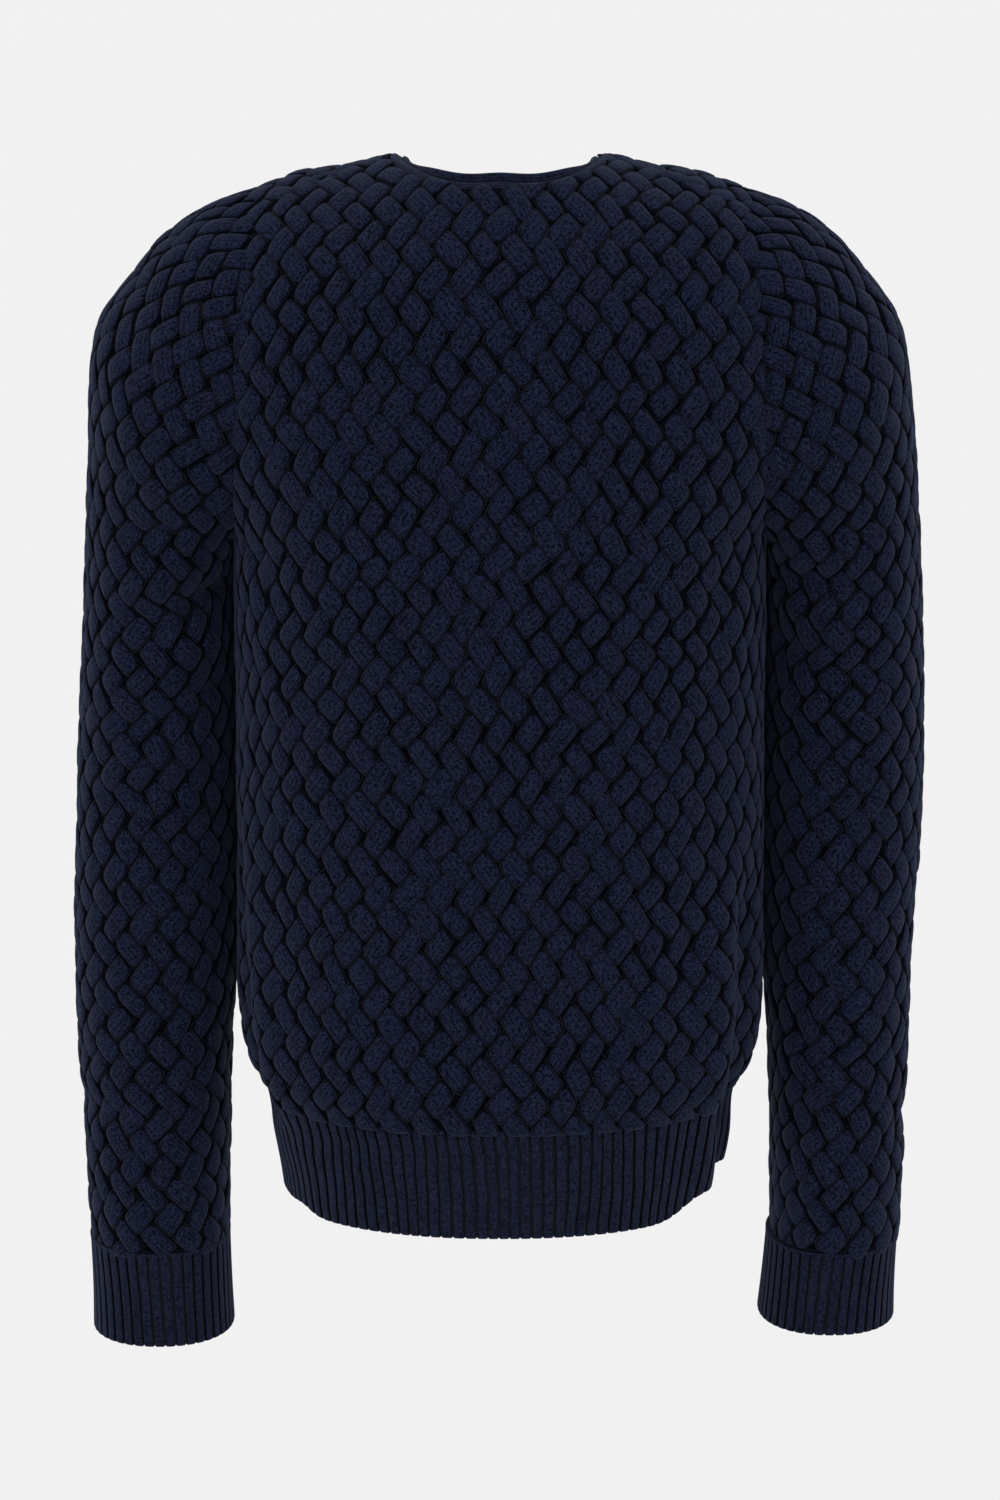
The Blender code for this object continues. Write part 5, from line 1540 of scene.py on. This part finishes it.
def bandShell(name, topDepth, seed):
    # one front band: ribs outside, rounded edges, plain inside
    line, out = frontLine()
    at = lengths(line)
    where = np.linspace(0, at[-1], bandKnit["stations"])
    line, out = readAt(line, at, where), unit(readAt(out, at, where))
    share, phase = ribPlaces(bandKnit["ribCount"])
    height, furrow = ribHeights(phase)
    half = form["bandWidth"] / 2
    inset = np.minimum(share, 1 - share) * form["bandWidth"]
    turn = inset / bandKnit["roll"]
    rounded = bandKnit["roll"] * (1 - np.sqrt(np.clip(turn * 2 - turn ** 2, 0, 1)))
    rounded = np.where(inset < bandKnit["roll"], rounded, 0.0)
    furrow = np.where(inset < bandKnit["roll"], 0.0, furrow)
    height = np.where(inset < bandKnit["border"], form["ribHeight"], height)
    profile = [(half - s * form["bandWidth"], topDepth + form["ribHeight"] - h + d, f)
               for s, h, d, f in zip(share, height, rounded, furrow)]
    under = topDepth + form["bandThickness"]
    profile += [(-half, (topDepth + under) / 2 + 0.0006, 0.0), (-half + 0.0005, under, 0.0)]
    profile += [(x, under, 0.0)
                for x in np.linspace(-half + 0.004, half - 0.004, bandKnit["lining"])]
    profile += [(half - 0.0005, under, 0.0), (half, (topDepth + under) / 2 + 0.0006, 0.0)]
    rows = np.array([np.stack([np.full(len(line), x), line[:, 0] - out[:, 0] * deep,
                               line[:, 1] - out[:, 1] * deep], 1) for x, deep, _ in profile])
    around = lengths(np.array([(x, deep) for x, deep, _ in profile]))
    uv = np.stack(np.broadcast_arrays(where[None], around[:, None]), -1)
    # painted shade in the furrows between the band's ribs
    paintedShade = np.tile(np.array([g for _, _, g in profile])[:, None] * 0.9, (1, len(line)))
    tone = slowTone(where, at[-1], 60, seed)
    return loopShell(name, rows, False, bandFinish, uv,
                     {"tone": np.tile(tone, (len(rows), 1)), "paintedShade": paintedShade}, 60), at[-1]


for name, node, depth, seed in (
        ("bandUpper", "band_left", -form["bandProud"], 51),
        ("bandLower", "band_right",
         form["bandThickness"] - form["bandProud"] + form["seamGap"], 54)):
    bandPiece, bandLength = bandShell(name, depth, seed)
    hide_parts(node)
print("front bands made")


# the buttons, modelled once lying flat and copied
button = {
    "segments": 40,
    "rim": 0.0019,            # width of the raised rim
    "dish": 0.0009,           # how deep the face lies inside it
    "slope": 0.0012,          # width of the slope down to it, and of the step underneath
    "edge": 0.0005,
    "edgeSteps": 3,
    "clearance": 0.0002,
    "hole": 0.00085,
    "holeSides": 14,
    "holeSpacing": 0.0019,
    "thread": 0.00042,
    "threadSegments": (24, 10),
    "threadSize": (1.0, 1.5, 0.42),
    "turn": 0.5,              # how far each is turned at most
}


def startClean():
    # an operator acts on all that is selected
    bpy.ops.object.select_all(action="DESELECT")


def cylinder(radius, depth, x, y, z, segments):
    startClean()
    bpy.ops.mesh.primitive_cylinder_add(vertices=segments, radius=radius, depth=depth,
                                        location=(x, y, z))
    return bpy.context.object


def selectFaces(thing, test):
    # in edit mode, only the faces that pass the test
    bpy.ops.object.mode_set(mode="OBJECT")
    for part in (thing.data.vertices, thing.data.edges, thing.data.polygons):
        part.foreach_set("select", np.zeros(len(part), bool))
    for face in thing.data.polygons:
        face.select = test(face)
    bpy.ops.object.mode_set(mode="EDIT")
    bpy.ops.mesh.select_mode(type="FACE")


def makeButton():
    # a dished disc with a raised rim and four holes
    thick = form["buttonThickness"]
    disc = cylinder(form["buttonRadius"] - button["clearance"], thick, 0, 0, thick / 2,
                    button["segments"])
    disc.name = "buttonForm"
    selectFaces(disc, lambda face: face.normal.z > 0.9)
    bpy.ops.mesh.inset(thickness=button["rim"])
    bpy.ops.transform.translate(value=(0, 0, -button["dish"] * 0.75))
    bpy.ops.mesh.inset(thickness=button["slope"])
    bpy.ops.transform.translate(value=(0, 0, -button["dish"] * 0.25))
    selectFaces(disc, lambda face: face.normal.z < -0.9)
    bpy.ops.mesh.inset(thickness=button["slope"])
    bpy.ops.transform.resize(value=(0.9, 0.9, 1.0))
    bpy.ops.object.mode_set(mode="OBJECT")
    soften = disc.modifiers.new("soften", "BEVEL")
    soften.width = button["edge"]
    soften.segments = button["edgeSteps"]
    soften.limit_method = "ANGLE"
    soften.angle_limit = math.radians(35)
    spread = button["holeSpacing"]
    for x in (-spread, spread):
        for y in (-spread, spread):
            drill = cylinder(button["hole"], 4 * thick, x, y, thick / 2, button["holeSides"])
            cut = disc.modifiers.new("hole", "BOOLEAN")
            cut.operation = "DIFFERENCE"
            cut.object = drill
            bpy.context.view_layer.objects.active = disc
            for modifier in [m.name for m in disc.modifiers]:
                bpy.ops.object.modifier_apply(modifier=modifier)
            bpy.data.objects.remove(drill, do_unlink=True)
    startClean()
    disc.select_set(True)
    bpy.context.view_layer.objects.active = disc
    bpy.ops.object.shade_smooth_by_angle(angle=math.radians(40))
    return disc


def makeThread(y):
    # one bar of sewing thread between two holes: a ring whose upper half shows
    startClean()
    thick = form["buttonThickness"]
    around, through = button["threadSegments"]
    bpy.ops.mesh.primitive_torus_add(
        major_radius=button["holeSpacing"], minor_radius=button["thread"], major_segments=around,
        minor_segments=through, location=(0, y, thick - button["dish"] - 0.0001),
        rotation=(math.pi / 2, 0, 0))
    ring = bpy.context.object
    bpy.ops.object.transform_apply(location=False, rotation=True, scale=False)
    bpy.ops.object.mode_set(mode="EDIT")
    bpy.ops.mesh.select_all(action="SELECT")
    bpy.ops.transform.resize(value=button["threadSize"])
    bpy.ops.object.mode_set(mode="OBJECT")
    bpy.ops.object.shade_smooth()
    return ring


def placeButtons():
    line, out = frontLine()
    at = lengths(line)
    places = np.linspace(form["buttonHemRise"], at[-1] - form["buttonTopDrop"], form["buttonCount"])
    disc = makeButton()
    threads = [makeThread(y) for y in (-button["holeSpacing"], button["holeSpacing"])]
    models = list(zip([disc] + threads, ("", "ThreadA", "ThreadB")))
    for thing, _ in models:
        thing.data.transform(Matrix.Translation(thing.location))
        thing.location = (0, 0, 0)
        thing.data.materials.clear()
        thing.data.materials.append(buttonFinish if thing is disc else bandFinish)
    draw = np.random.default_rng(61)
    for number, place in enumerate(places[::-1], 1):
        foot = readAt(line, at, [place])[0]
        facing = unit(readAt(out, at, [place]))[0]
        lift = form["bandProud"] + form["seamGap"]
        z = Vector((0.0, facing[0], facing[1]))
        x = Vector((1.0, 0.0, 0.0))
        seat = Matrix((x, z.cross(x), z)).transposed().to_4x4()
        seat.translation = Vector((0.0, foot[0] + facing[0] * lift, foot[1] + facing[1] * lift))
        turned = seat @ Matrix.Rotation(draw.uniform(-button["turn"], button["turn"]), 4, "Z")
        for thing, word in models:
            mesh = thing.data.copy()
            mesh.transform(turned)
            piece = bpy.data.objects.new(f"button{number}{word}", mesh)
            bpy.context.scene.collection.objects.link(piece)
            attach(piece, "root")
            if thing is disc:
                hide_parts(f"button_{number}")
    for thing, _ in models:
        bpy.data.objects.remove(thing, do_unlink=True)
    print("buttons made", len(places))


placeButtons()

# the stage
stageSettings = {
    "target": (0.0, 0.0, -0.376),
    "camera": (0.0, 2.45, 0.219),
    "lens": 95.0,
    "sensorHeight": 36.0,
    "farthest": 300.0,
    "floorZ": -2.60,
    "floorSize": 120.0,
    "floorGrey": (0.808, 0.806, 0.808, 1.0),
    "sky": (0.872, 0.872, 0.872, 1.0),
    "sunFrom": (0.25, 0.95, 1.35),
    "sunStrength": 0.86,
    "sunAngle": 60.0,
}


def lookAt(thing, target):
    direction = Vector(target) - thing.location
    thing.rotation_euler = direction.to_track_quat("-Z", "Y").to_euler()


startClean()
bpy.ops.object.camera_add(location=stageSettings["camera"])
camera = bpy.context.object
camera.data.lens = stageSettings["lens"]
camera.data.sensor_fit = "VERTICAL"
camera.data.sensor_height = stageSettings["sensorHeight"]
camera.data.clip_end = stageSettings["farthest"]
lookAt(camera, stageSettings["target"])
bpy.context.scene.camera = camera

bpy.ops.mesh.primitive_plane_add(size=stageSettings["floorSize"],
                                 location=(0, 0, stageSettings["floorZ"]))
floor = bpy.context.object
floor.name = "floor"
paper = Finish("palePaper")
paper.fix({"Base Color": stageSettings["floorGrey"], "Roughness": 1.0, "Specular IOR Level": 0.0})
floor.data.materials.append(paper.material)

world = bpy.data.worlds.new("studio")
bpy.context.scene.world = world
world.use_nodes = True
world.node_tree.nodes["Background"].inputs["Color"].default_value = stageSettings["sky"]
world.node_tree.nodes["Background"].inputs["Strength"].default_value = 1.0

bpy.ops.object.light_add(type="SUN", location=stageSettings["sunFrom"])
sun = bpy.context.object
sun.name = "softSun"
sun.data.energy = stageSettings["sunStrength"]
sun.data.angle = math.radians(stageSettings["sunAngle"])
lookAt(sun, (0.0, 0.0, 0.0))

bpy.context.scene.view_settings.view_transform = "Standard"
print("stage made")
